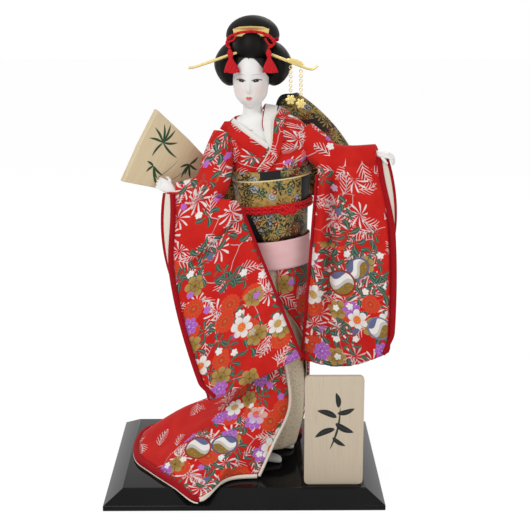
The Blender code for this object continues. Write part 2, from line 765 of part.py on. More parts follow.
def obi_cord():
    cx, cy, wide, deep = section_at(TRUNK, CORD_HEIGHT)
    grow = OBI_START + OBI_THICKNESS + LAYER_GAP + CORD_RADIUS
    rings = []
    sides, around = 8, 22
    for k in range(around):
        t = 2 * math.pi * k / around
        out = Vector((-math.sin(t), -math.cos(t), 0.0))
        centre = tilted((cx - (wide + grow) * math.sin(t), cy - (deep + grow) * math.cos(t), CORD_HEIGHT))
        rings.append([
            centre + out * (CORD_RADIUS * math.cos(2 * math.pi * i / sides))
            + Vector((0, 0, CORD_RADIUS * math.sin(2 * math.pi * i / sides))) for i in range(sides)
        ])
    points = [p for ring in rings for p in ring]
    faces = []
    for k in range(around):
        for i in range(sides):
            a, b = k * sides, ((k + 1) % around) * sides
            faces.append((a + i, a + (i + 1) % sides, b + (i + 1) % sides, b + i))
    cord = solid("obi_cord", points, faces, red_cord())
    knot_x = KNOT_AT[0]
    rise = TRUNK_TILT * (knot_x - TRUNK_MIDDLE)
    knot = ball("obi_cord_knot", (knot_x, KNOT_AT[1], CORD_HEIGHT + rise), (0.0105, 0.0042, 0.0052), red_cord(),
                12, 8)
    boolean(knot, grown(cord))
    boolean(knot, grown(bpy.data.objects["obi_band"]))
    baked(knot)


def collar(name, edge_points, nape, width, start, thickness, outward, material):
    """A neck band: from the nape round the neck, then down the front of the trunk."""
    inner_edge, outer_edge = [], []
    for near, far in nape:
        inner_edge.append(Vector(near))
        outer_edge.append(Vector(far))
    for x, z in edge_points:
        inner_edge.append(chest_point(x, z, start + thickness))
        outer_edge.append(chest_point(x + outward[0] * width, z + outward[1] * width, start + thickness))
    steps = 2 * (len(inner_edge) - 1)
    grid = []
    for s in range(steps + 1):
        t = s * (len(inner_edge) - 1) / steps
        a, b = curve_through(inner_edge, t), curve_through(outer_edge, t)
        row = []
        for k in range(5):
            point = a.lerp(b, k / 4)
            row.append(point)
        grid.append(row)
    back = offset_grid(grid, thickness)
    probe = (back[-1][2] - grid[-1][2]).y
    if probe < 0:
        back = offset_grid(grid, -thickness)
    return slab(name, grid, back, material)


def collars():
    (lx, lz), (bx, bz), (rx, rz) = NECK_LEFT_TOP, NECK_BOTTOM, NECK_RIGHT_TOP
    down_right = [(lx + (bx - lx) * f, lz + (bz - lz) * f) for f in (0.12, 0.3, 0.5, 0.7, 0.93)]
    collar("collar_right", down_right, NAPE_RIGHT, COLLAR_WIDTH, COLLAR_START, COLLAR_THICKNESS,
           (-0.57, -0.82), red_cloth())
    end = (0.0150, SCARF_TOP + 0.0040)
    down_left = [(rx + (bx - rx) * f, rz + (bz - rz) * f) for f in (0.1, 0.45, 0.85)]
    down_left += [(bx + (end[0] - bx) * f, bz + (end[1] - bz) * f) for f in (0.4, 1.0)]
    collar("collar_left", down_left, NAPE_LEFT, COLLAR_WIDTH, COLLAR_START, COLLAR_THICKNESS,
           (0.95, -0.22), red_cloth())
    inset = UNDER_COLLAR_INSET
    white_right = [(lx + (bx - lx) * f + 0.57 * inset, lz + (bz - lz) * f + 0.82 * inset)
                   for f in (0.24, 0.42, 0.60)]
    collar("under_collar_right", white_right, (), UNDER_COLLAR_WIDTH, UNDER_COLLAR_START,
           UNDER_COLLAR_THICKNESS, (-0.57, -0.82), white_cloth())
    white_left = [(rx + (bx - rx) * f - 0.95 * inset, rz + (bz - rz) * f + 0.10 * inset)
                  for f in (0.16, 0.48, 0.80)]
    collar("under_collar_left", white_left, (), UNDER_COLLAR_WIDTH, UNDER_COLLAR_START,
           UNDER_COLLAR_THICKNESS, (0.99, -0.10), white_cloth())


def under_skirt():
    heights = [UNDER_SKIRT[0][0] + (UNDER_SKIRT[-1][0] - UNDER_SKIRT[0][0]) * k / 9 for k in range(10)]
    outer, inner = [], []
    for z in heights:
        cx, cy, wide, deep = section_at(UNDER_SKIRT, z)
        for rings, shrink in ((outer, 0.0), (inner, UNDER_SKIRT_THICKNESS)):
            rings.append([
                tilted((cx - (wide - shrink) * math.sin(2 * math.pi * k / TRUNK_SIDES),
                        cy - (deep - shrink) * math.cos(2 * math.pi * k / TRUNK_SIDES), z))
                for k in range(TRUNK_SIDES)
            ])
    return sleeve_loft("under_skirt", outer, inner, cream_cloth())


def skirt_columns():
    """The net's columns, each from the waist to the hem."""
    columns = []
    for angle, *lower in SKIRT_NET:
        t = math.radians(angle)
        upper = []
        for z, grow_x, grow_y in ((SKIRT_TOP, WAIST_GROW, WAIST_GROW), (HIP_HEIGHT, *HIP_GROW)):
            cx, cy, wide, deep = section_at(TRUNK, z)
            upper.append(tilted((cx - (wide + grow_x) * math.sin(t), cy - (deep + grow_y) * math.cos(t), z)))
        columns.append(upper + [Vector(p) for p in lower])
    return columns


def skirt_point(columns, u, v):
    """A point of the skirt's surface, u round it and v down it, both from 0 to 1."""
    down = v * (len(columns[0]) - 1)
    across = [curve_through(column, down) for column in columns]
    return curve_through(across, u * (len(columns) - 1))


def skirt_grid(columns):
    """The skirt's points, stopping short of the padded hem."""
    count = round((len(columns) - 1) * SKIRT_SUBSTEPS)
    hem = [skirt_point(columns, c / count, 1.0) for c in range(count + 1)]
    clear = HEM_RADIUS + LAYER_GAP
    depth = SKIRT_THICKNESS + LAYER_GAP + LINING_THICKNESS
    grid = []
    for c in range(count + 1):
        u = c / count
        end = 0.995
        while end > 0.8:
            point = skirt_point(columns, u, end)
            across = skirt_point(columns, min(1.0, u + 0.01), end) - skirt_point(columns, max(0.0, u - 0.01), end)
            normal = across.cross(point - skirt_point(columns, u, end - 0.01)).normalized() * depth
            layers = (point, point + normal * 0.5, point - normal * 0.5, point + normal, point - normal)
            if min(distance_to(hem, p) for p in layers) > clear:
                break
            end -= 0.004
        grid.append([skirt_point(columns, u, end * r / SKIRT_ROWS) for r in range(SKIRT_ROWS + 1)])
    return grid


def distance_to(path, point):
    """The distance from a point to a path."""
    nearest = 1.0
    for a, b in zip(path, path[1:]):
        along = b - a
        f = max(0.0, min(1.0, (point - a).dot(along) / along.length_squared))
        nearest = min(nearest, (a + along * f - point).length)
    return nearest


def skirt():
    """The kimono skirt with its train, its lining and its padded hem."""
    columns = skirt_columns()
    grid = skirt_grid(columns)
    inner = offset_grid(grid, SKIRT_THICKNESS)
    sign = 1.0 if (inner[10][0] - grid[10][0]).x > 0 else -1.0
    slab("kimono_skirt", grid, offset_grid(grid, sign * SKIRT_THICKNESS), red_cloth())
    start = SKIRT_THICKNESS + LAYER_GAP
    front = offset_grid(grid, sign * start)
    back = offset_grid(grid, sign * (start + LINING_THICKNESS))
    slab("skirt_lining", front, back, cream_cloth())
    count = round((len(columns) - 1) * SKIRT_SUBSTEPS)
    hem = [skirt_point(columns, c / count, 1.0) for c in range(count + 1)]
    tube("skirt_hem_roll", hem, HEM_RADIUS, red_cloth(), 8)


def arm_path(side, ahead=0.0):
    """The arm's bend, smoothed, with radii along it."""
    stops = ARMS[side]
    points = [Vector(p) for p, _ in stops]
    last = len(stops) - 1
    steps = [curve_through(points, last * k / ARM_STEPS) for k in range(ARM_STEPS + 1)]
    radii = [curve_through([(r, 0, 0) for _, r in stops], last * k / ARM_STEPS).x for k in range(ARM_STEPS + 1)]
    if ahead:
        steps.insert(0, steps[0] + (steps[0] - steps[1]).normalized() * ahead)
        radii.insert(0, radii[0])
    return steps, radii


def arm_padding(side):
    path, radii = arm_path(side)
    back = (path[-2] - path[-1]).normalized()
    path[-1] = path[-1] + back * (HAND_POSES[side][0] - PALM_START + 0.0018)
    return tube(f"arm_padding_{side}", path, [r - ARM_INSET for r in radii], straw())


def bag_point(side, u, v):
    """A point of a sleeve bag's middle surface: u from its inner to its outer edge, v downwards."""
    a, b, c, d, bulge, sag = BAGS[side]
    top = Vector(a).lerp(Vector(b), u)
    foot_edge = Vector(d).lerp(Vector(c), u)
    point = top.lerp(foot_edge, v)
    outward = (Vector(b) - Vector(a)).normalized()
    point += outward * (bulge * math.sin(math.pi * v) * u * u)
    point.z -= sag * math.sin(math.pi * min(1.0, u)) * v
    return point


def bag_half(u, v):
    middle = max(0.0, math.sin(math.pi * u)) ** 0.6
    return BAG_EDGE + BAG_FULLNESS * middle * (1 - v ** 4) + 0.0030 * math.exp(-((v / 0.15) ** 2))


def bag_slab(name, side, half, us, vs, material):
    middle = [[bag_point(side, u, v) for u in us] for v in vs]
    halves = [[half(u, v) for u in us] for v in vs]
    ahead = offset_grid(middle, 1.0)
    front = [[m + (n - m) * h for m, n, h in zip(ms, ns, hs)] for ms, ns, hs in zip(middle, ahead, halves)]
    back = [[m - (n - m) * h for m, n, h in zip(ms, ns, hs)] for ms, ns, hs in zip(middle, ahead, halves)]
    return slab(name, front, back, material)


def spread(low, high, count):
    return [low + (high - low) * k / count for k in range(count + 1)]


def sleeve(side, bodice_space):
    """Arm tube and hanging bag in one, hollow for the arm and slit at the wrist."""
    path, radii = arm_path(side)
    part = tube(f"sleeve_{side}", path, radii, red_cloth())
    bag = as_cutter(bag_slab(f"bag_{side}", side, bag_half, spread(0, 1, BAG_COLUMNS),
                             spread(0, 1, BAG_ROWS), red_cloth()))
    boolean(part, bag, "UNION")
    boolean(part, bodice_space, tangled=True)
    reach, radii = arm_path(side, 0.010)
    bore = [r - ARM_INSET + LAYER_GAP for r in radii[:-1]] + [CUFF_RADIUS] * 3
    out = Vector(HAND_WAYS[side][0]).normalized()
    reach += [reach[-1] + out * CUFF_LENGTH * 0.3, reach[-1] + out * CUFF_LENGTH]
    boolean(part, as_cutter(tube(f"arm_bore_{side}", reach, bore, red_cloth())))
    slit = as_cutter(bag_slab(f"slit_{side}", side, lambda u, v: SLIT_HALF, spread(SLIT_START, 1.08, 4),
                              spread(0.07, SLIT_END, 6), red_cloth()))
    boolean(part, slit)
    baked(part)
    lining = bag_slab(f"sleeve_lining_{side}", side, lambda u, v: SLEEVE_LINING_HALF,
                      spread(SLIT_START + 0.015, 1.012, 4), spread(0.12, SLIT_END - 0.012, 6), white_cloth())
    return part, lining


def hand(side):
    """A palm, four fingers and a thumb, bent and set at the sleeve's end."""
    def place(points, matrix):
        return [[matrix @ Vector(p) for p in ring] for ring in points]

    wrist = Vector(ARMS[side][2][0])
    forward, back = (Vector(way) for way in HAND_WAYS[side])
    forward.normalize()
    back = (back - forward * back.dot(forward)).normalized()
    across = back.cross(forward)
    matrix = Matrix.Translation(wrist) @ Matrix((
        (forward.x, across.x, back.x, 0), (forward.y, across.y, back.y, 0),
        (forward.z, across.z, back.z, 0), (0, 0, 0, 1)))
    back_in, curl = HAND_POSES[side]
    palm = []
    for x, wide, thick in ((PALM_START, 0.0038, 0.0038), (0.0105, 0.0040, 0.0037), (0.0145, 0.0058, 0.0036),
                           (0.0190, 0.0068, 0.0034), (0.0230, 0.0068, 0.0030), (0.0245, 0.0058, 0.0022)):
        palm.append([(x - back_in, wide * math.cos(2 * math.pi * k / 12), thick * math.sin(2 * math.pi * k / 12))
                     for k in range(12)])
    part = loft(f"hand_{side}", place(palm, matrix), skin())
    digits = [(-0.0051, 0.0105), (-0.0017, 0.0120), (0.0017, 0.0115), (0.0051, 0.0095)]
    for n, (y, length) in enumerate(digits):
        path = []
        x, z, angle = 0.0210 - back_in, 0.0, 0.0
        for step in range(5):
            path.append(matrix @ Vector((x, y, z)))
            x += (length + 0.004) / 4 * math.cos(angle)
            z -= (length + 0.004) / 4 * math.sin(angle)
            angle += curl
        radii = [0.0016, 0.0016, 0.0015, 0.0014, 0.0009]
        boolean(part, as_cutter(tube(f"finger_{side}_{n}", path, radii, skin(), 6)), "UNION")
    thumb = [matrix @ (Vector(p) - Vector((back_in, 0, 0))) for p in ((0.0165, -0.0040, 0.0), (0.0190, -0.0080, -0.001),
                                          (0.0225, -0.0095, -0.0035), (0.0250, -0.0090, -0.0060))]
    boolean(part, as_cutter(tube(f"thumb_{side}", thumb, [0.0019, 0.0019, 0.0016, 0.0010], skin(), 6)), "UNION")
    return part


def head_point(lon, lat):
    """A point of the head in its own axes: -Y is the face."""
    x, y, z = math.sin(lon) * math.cos(lat), -math.cos(lon) * math.cos(lat), math.sin(lat)
    rx, ry, rz = HEAD_RADII
    front = max(0.0, -y)
    low = max(0.0, -z)
    x *= 1.0 - 0.34 * low ** 2.2
    y *= 1.0 - 0.10 * low * low if y < 0 else 1.0 - 0.45 * low ** 1.5
    px, py, pz = x * rx, y * ry, z * rz
    nose = math.exp(-((px / 0.0022) ** 2)) * math.exp(-(((pz + 0.0120) / 0.0060) ** 2))
    nose += 0.4 * math.exp(-((px / 0.0018) ** 2)) * math.exp(-(((pz + 0.0040) / 0.0070) ** 2))
    lips = math.exp(-((px / 0.0048) ** 2)) * math.exp(-(((pz + 0.0215) / 0.0026) ** 2))
    chin = math.exp(-((px / 0.0060) ** 2)) * math.exp(-(((pz + 0.0285) / 0.0040) ** 2))
    eyes = sum(math.exp(-(((px - s * 0.0078) / 0.0050) ** 2)) for s in (-1, 1))
    eyes *= math.exp(-(((pz + 0.0030) / 0.0040) ** 2))
    py -= front * (0.0026 * nose + 0.0008 * lips + 0.0010 * chin - 0.0007 * eyes)
    return Vector((px, py, pz))


def head_matrix():
    turn = Matrix.Rotation(math.radians(HEAD_TURN), 4, "Z")
    nod = Matrix.Rotation(math.radians(HEAD_NOD), 4, "X")
    return Matrix.Translation(Vector(HEAD_CENTRE)) @ turn @ nod


def head():
    """Face and skull with a neck that goes down into the shoulder plate."""
    matrix = head_matrix()
    across, up = 24, 15
    rings = []
    for r in range(1, up):
        lat = math.pi * r / up - math.pi / 2
        rings.append([matrix @ head_point(2 * math.pi * k / across, lat) for k in range(across)])
    part = loft("head", rings, skin())
    count = len(part.data.vertices)
    part.data.vertices[count - 2].co = matrix @ head_point(0.0, -math.pi / 2)
    part.data.vertices[count - 1].co = matrix @ head_point(0.0, math.pi / 2)
    low = Vector(NECK_BASE)
    high = Vector((HEAD_CENTRE[0], HEAD_CENTRE[1] + 0.0050, 0.4400))
    path = [low.lerp(high, f) for f in (0.0, 0.25, 0.45, 0.65, 1.0)]
    radii = [NECK_RADIUS * f for f in (1.0, 1.06, 1.0, 0.98, 1.0)]
    neck = as_cutter(tube("neck", path, radii, skin(), 20))
    boolean(part, neck, "UNION")
    return baked(part)


def hair(head_part):
    masses = {}
    parts = []
    for name, (centre, radii) in HAIR.items():
        masses[name] = ball(name, centre, radii, black_hair(), 14, 9)
        parts.append(masses[name])
    order = [head_part, masses["hair_crown"], masses["hair_wing_right"], masses["hair_wing_left"],
             masses["hair_nape"], masses["hair_topknot"]]
    tools = [grown(part) for part in order]
    for i, part in enumerate(order[1:], 1):
        for tool in tools[:i]:
            boolean(part, tool)
    return masses


def ornaments(masses):
    """Comb, cord, tassels, pins and the two hanging strands."""
    cx, cy, cz = COMB_CENTRE
    w, t, h = COMB_SIZE
    outline = [(-w / 2 + 0.0015, -h / 2), (w / 2 - 0.0015, -h / 2), (w / 2, h * 0.20), (w * 0.32, h * 0.44),
               (0.0, h / 2), (-w * 0.32, h * 0.44), (-w / 2, h * 0.20)]
    rings = [[(cx + x, cy + side * t / 2 + 6.0 * x * x, cz + z) for x, z in outline] for side in (-1, 1)]
    comb = loft("comb", rings, gilt())
    for mass in masses.values():
        boolean(comb, grown(mass))
    baked(comb)
    cord = tube("hair_cord", [curve_through(HAIR_CORD, k / 3) for k in range(3 * (len(HAIR_CORD) - 1) + 1)],
                HAIR_CORD_RADIUS, red_cord(), 10)
    boolean(cord, grown(comb))
    for name in ("hair_crown", "hair_topknot"):
        boolean(cord, grown(masses[name]))
    baked(cord)
    for side, top in TASSEL_TOPS.items():
        x, y, z = top
        path = [(x, y, z - GAP - TASSEL_LENGTH * f) for f in (0.0, 0.12, 0.2, 0.3, 0.6, 1.0)]
        radii = [TASSEL_RADIUS * f for f in (0.25, 0.42, 0.30, 0.45, 0.80, 1.0)]
        tassel = tube(f"tassel_{side}", path, radii, red_cord(), 14)
        boolean(tassel, grown(cord))
        boolean(tassel, grown(masses[f"hair_wing_{side}"]))
        boolean(tassel, grown(masses["hair_crown"]))
        boolean(tassel, grown(bpy.data.objects["head"]))
        baked(tassel)
    for side, (outer, inner) in PINS.items():
        outer, inner = Vector(outer), Vector(inner)
        path = [outer, outer.lerp(inner, 0.04), outer.lerp(inner, 0.3), outer.lerp(inner, 0.7), inner]
        pin = tube(f"hairpin_{side}", path, [PIN_RADIUS * 1.4] + [PIN_RADIUS] * 4, gilt(), 10)
        for mass in masses.values():
            boolean(mass, grown(pin))
        boolean(bpy.data.objects[f"tassel_{side}"], grown(pin))
    low, high = Vector(BEAD_AT), Vector((0.0200, -0.0050, 0.4800))
    bead = ball("bead_pin", BEAD_AT, (BEAD_RADIUS,) * 3, red_cord(), 10, 6)
    stick = as_cutter(tube("bead_stick", [low, high], 0.0007, gilt(), 8))
    boolean(bead, stick, "UNION")
    baked(bead)
    for mass in masses.values():
        boolean(mass, grown(bead))
    for mass in masses.values():
        baked(mass)
    for where, (x, drop) in DANGLES.items():
        dangle(where, x, drop)


def pin_point(x):
    outer, inner = (Vector(p) for p in PINS["left"])
    return outer.lerp(inner, (x - outer.x) / (inner.x - outer.x))


def dangle(where, x, drop):
    """A hanging strand: a ring round the left hairpin, a flat chain and a flower at its end."""
    centre = pin_point(x)
    outer, inner = (Vector(p) for p in PINS["left"])
    along = (inner - outer).normalized()
    ends = [centre - along * DANGLE_HALF, centre + along * DANGLE_HALF]
    part = tube(f"dangle_{where}", ends, DANGLE_RING, gilt(), 16)
    hook = as_cutter(tube(f"dangle_bore_{where}", [ends[0] - along * 0.001, ends[1] + along * 0.001],
                          DANGLE_BORE, gilt(), 16))
    top = centre.z - DANGLE_BORE - 0.0003
    bottom = centre.z - drop
    rings = []
    for z, wide, thick in ((top, 0.0008, 0.0006), (top - 0.004, 0.0013, 0.0006),
                           (bottom + DANGLE_FLOWER * 2, 0.0013, 0.0006), (bottom + DANGLE_FLOWER * 1.5, 0.0030, 0.0008),
                           (bottom + DANGLE_FLOWER, DANGLE_FLOWER * 0.9, 0.0009), (bottom + 0.0010, 0.0024, 0.0008),
                           (bottom, 0.0008, 0.0005)):
        rings.append([(x + wide * math.cos(2 * math.pi * k / 8), centre.y + thick * math.sin(2 * math.pi * k / 8), z)
                      for k in range(8)])
    strand = as_cutter(loft(f"strand_{where}", rings, gilt()))
    boolean(part, strand, "UNION")
    boolean(part, hook)
    return pivoted(baked(part), centre)


def bow_frame():
    along = Vector(BOW_AXIS).normalized()
    across = Vector((-along.z, 0.0, along.x))
    return Vector(BOW_CENTRE), along, across


def bow_wing(name, way):
    """One wing of the bow: a flattened loop of stiff brocade, gathered where it meets the band."""
    centre, along, across = bow_frame()
    columns, loop = 6, 14

    def ring(spread_at, shrink):
        points = []
        for k in range(loop):
            a = 2 * math.pi * k / loop
            reach = 0.5 - 0.5 * math.cos(a)
            length = BOW_LENGTH - BOW_BAND_WIDTH / 2 - GAP
            fullness = math.sin(a) * (0.35 + 0.65 * reach)
            s = BOW_BAND_WIDTH / 2 + GAP + shrink + (length - 2 * shrink) * reach
            pinch = BOW_PINCH + (BOW_HALF_WIDTH - BOW_PINCH) * eased(0.0, 0.75, reach)
            bulge = 0.004 * (1 - spread_at * spread_at) * reach
            y = (BOW_DEPTH - shrink * 1.6) * fullness
            points.append(centre + along * (way * (s + bulge)) + across * (spread_at * pinch) + Vector((0, y, 0)))
        return points

    outer = [ring(-1 + 2 * c / columns, 0.0) for c in range(columns + 1)]
    inner = [ring(-1 + 2 * c / columns, BOW_SHELL) for c in range(columns + 1)]
    return sleeve_loft(name, outer, inner, dark_brocade())


def bow():
    upper = bow_wing("obi_bow_upper", 1)
    lower = bow_wing("obi_bow_lower", -1)
    centre, along, across = bow_frame()
    depth = BOW_BAND_DEPTH
    centre = centre - Vector((0, BOW_BAND_AHEAD, 0))
    half = BOW_BAND_WIDTH / 2
    rings = []
    for s, wide, deep in ((-half, 0.90, 0.80), (-half * 0.5, 1.0, 1.0), (half * 0.5, 1.0, 1.0), (half, 0.90, 0.80)):
        rings.append([
            centre + along * s + across * (BOW_PINCH * 1.02 * wide * math.cos(2 * math.pi * k / 20))
            + Vector((0, depth * deep * math.sin(2 * math.pi * k / 20), 0)) for k in range(20)
        ])
    loft("obi_bow_band", rings, dark_brocade())
    obi = grown(bpy.data.objects["obi_band"])
    cord = grown(bpy.data.objects["obi_cord"])
    for name in ("obi_bow_upper", "obi_bow_lower", "obi_bow_band"):
        part = bpy.data.objects[name]
        boolean(part, obi)
        boolean(part, cord)
        baked(part)


def battledore():
    """A flat board, wide at the far end, narrowing to a handle."""
    along, across = Vector(BOARD_ALONG).normalized(), Vector(BOARD_ACROSS).normalized()
    face = along.cross(across).normalized()
    centre = Vector(BOARD_END)
    outline = [(s, w) for s, w in BOARD_OUTLINE[1:]] + [(s, -w) for s, w in reversed(BOARD_OUTLINE[1:])]
    outline.append(BOARD_OUTLINE[0])
    edge = 0.0008
    rings = []
    middle_s = sum(s for s, _ in outline) / len(outline)
    for depth, inset in ((-1, edge), (-0.8, 0.0), (0.8, 0.0), (1, edge)):
        ring = []
        for s, w in outline:
            s2 = s + (edge if inset and s < middle_s else (-edge if inset else 0.0))
            w2 = w - math.copysign(min(inset, abs(w)), w)
            ring.append(centre + along * s2 + across * w2 + face * (depth * BOARD_THICKNESS / 2))
        rings.append(ring)
    board = loft("hagoita_board", rings, pale_wood())
    for polygon in board.data.polygons:
        polygon.use_smooth = False
    return board


def main():
    clear_scene()
    base = display_base()
    name_plate()
    bores = []
    for side in ("right", "left"):
        _, bore = leg_rod(side)
        bores.append(bore)
        boolean(base, bore)
        foot(side, bore)
    body_core(bores)
    plate = shoulder_plate()
    dress = bodice()
    sash_layers()
    obi_cord()
    collars()
    under_skirt()
    skirt()
    paddings = {side: arm_padding(side) for side in ("right", "left")}
    for side, padding in paddings.items():
        boolean(plate, grown(padding))
        boolean(dress, grown(padding))
    boolean(dress, neck_cutter())
    head_part = head()
    boolean(plate, grown(head_part))
    baked(plate)
    baked(dress)
    wide = OBI_START + OBI_THICKNESS + LAYER_GAP
    space = [trunk_ring(z, wide) for z in levels(BODICE_BOTTOM, SCARF_TOP + 0.001)]
    space += [trunk_ring(z, BODICE_THICKNESS + 2.5 * GAP) for z in levels(SCARF_TOP + 0.003, PLATE_TOP)]
    space = as_cutter(loft("bodice_space", space, red_cloth()))
    hands = {}
    for side in paddings:
        sleeve(side, space)
        hands[side] = hand(side)
    masses = hair(head_part)
    ornaments(masses)
    bow()
    board = battledore()
    boolean(hands["right"], grown(board))
    for part in hands.values():
        baked(part)


main()
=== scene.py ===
"""Looks for a dressed kimono doll: cloth, hair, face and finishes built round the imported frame.

Metres, +Z up, +X is the viewer's right and the doll faces -Y. Left and right in names are the doll's own.
"""

import math

import bmesh
import bpy
from mathutils import Euler, Matrix, Vector, noise


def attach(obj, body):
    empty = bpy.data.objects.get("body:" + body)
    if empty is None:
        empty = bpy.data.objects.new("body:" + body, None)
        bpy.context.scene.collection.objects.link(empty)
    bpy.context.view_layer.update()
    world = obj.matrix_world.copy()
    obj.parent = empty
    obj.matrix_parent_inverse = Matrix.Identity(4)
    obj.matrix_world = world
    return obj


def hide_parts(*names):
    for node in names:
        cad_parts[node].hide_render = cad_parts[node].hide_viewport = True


bl_info = {
    "name": "Kimono Doll Dresser",
    "version": (1, 0, 0),
    "blender": (4, 5, 0),
    "location": "View3D > Sidebar > Kimono Doll",
    "description": "Builds the cloth, hair, face and finishes of a dressed kimono doll",
    "category": "Object",
}

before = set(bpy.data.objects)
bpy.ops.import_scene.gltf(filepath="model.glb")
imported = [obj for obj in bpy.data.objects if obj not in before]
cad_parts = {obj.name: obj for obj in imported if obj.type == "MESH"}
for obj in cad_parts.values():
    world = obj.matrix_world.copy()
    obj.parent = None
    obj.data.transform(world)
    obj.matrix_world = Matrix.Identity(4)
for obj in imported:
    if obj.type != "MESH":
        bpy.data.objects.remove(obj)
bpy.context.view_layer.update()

# The trunk's stations, from the hips up: height, centre x, centre y, half width, half depth
TRUNK = (
    (0.150, 0.032, 0.010, 0.0300, 0.0250), (0.200, 0.032, 0.012, 0.0330, 0.0270),
    (0.236, 0.032, 0.013, 0.0335, 0.0275), (0.275, 0.031, 0.014, 0.0335, 0.0270),
    (0.310, 0.031, 0.014, 0.0345, 0.0270), (0.345, 0.030, 0.014, 0.0385, 0.0275),
    (0.365, 0.028, 0.014, 0.0430, 0.0270), (0.380, 0.026, 0.013, 0.0450, 0.0250),
    (0.390, 0.024, 0.012, 0.0410, 0.0220), (0.398, 0.022, 0.010, 0.0350, 0.0185),
    (0.404, 0.020, 0.008, 0.0260, 0.0150),
)
# The under-skirt's stations, from its hem up
UNDER_SKIRT = (
    (0.036, 0.0290, -0.0045, 0.0315, 0.0360), (0.062, 0.0310, -0.0030, 0.0352, 0.0365),
    (0.100, 0.0320, 0.0000, 0.0355, 0.0350), (0.145, 0.0316, 0.0060, 0.0340, 0.0320),
    (0.190, 0.0318, 0.0110, 0.0350, 0.0303), (0.246, 0.0320, 0.0130, 0.0355, 0.0295),
)
# The neckline's V, as x and height
NECK_TOP_RIGHT, NECK_BOTTOM, NECK_TOP_LEFT = (-0.0186, 0.4023), (0.0285, 0.3685), (0.0330, 0.4060)
# Where the front overlap ends under the obi, as x and height
FOLD_END = (0.0150, 0.351)
BODICE_TOP, BODICE_BOTTOM, SKIRT_TOP, HIP_HEIGHT = 0.4035, 0.250, 0.2445, 0.205
# How far out from the trunk the skirt stands at its top and at the hip, and the obi cord
SKIRT_TOP_OUT, HIP_OUT, CORD_OUT = 0.0061, 0.0080, 0.0087
COLLAR_WIDE, CORD_HEIGHT = 0.012, 0.3055
# Each collar round the nape: points of its near and far edge, from the middle of the back forward
NAPES = {
    "right": (((0.0111, 0.0385, 0.3950), (0.0111, 0.0425, 0.3845)),
              ((-0.0090, 0.0310, 0.3945), (-0.0140, 0.0340, 0.3850)),
              ((-0.0205, 0.0135, 0.3965), (-0.0255, 0.0135, 0.3885))),
    "left": (((0.0119, 0.0380, 0.3990), (0.0119, 0.0425, 0.3875)),
             ((0.0320, 0.0300, 0.4060), (0.0400, 0.0340, 0.3960)),
             ((0.0390, 0.0130, 0.4125), (0.0500, 0.0140, 0.4065))),
}
# Bands round the waist: piece, node, slot, finish, bottom, top, distance out, thickness, creases, flat size
WAIST_BANDS = (
    ("pink_sash_cloth", "pink_sash", "pink_cloth", "pink_crepe", 0.238, 0.2697, 0.0085, 0.0012, 0.0003,
     (0.245, 0.032)),
    ("obi_cloth", "obi_band", "gold_brocade", "gold_brocade", 0.270, 0.3375, 0.0057, 0.0022, 0.0,
     (0.245, 0.068)),
    ("obi_scarf_cloth", "obi_scarf", "dark_brocade", "scarf_brocade", 0.3378, 0.3470, 0.0053, 0.0020, 0.0,
     (0.250, 0.010)),
)

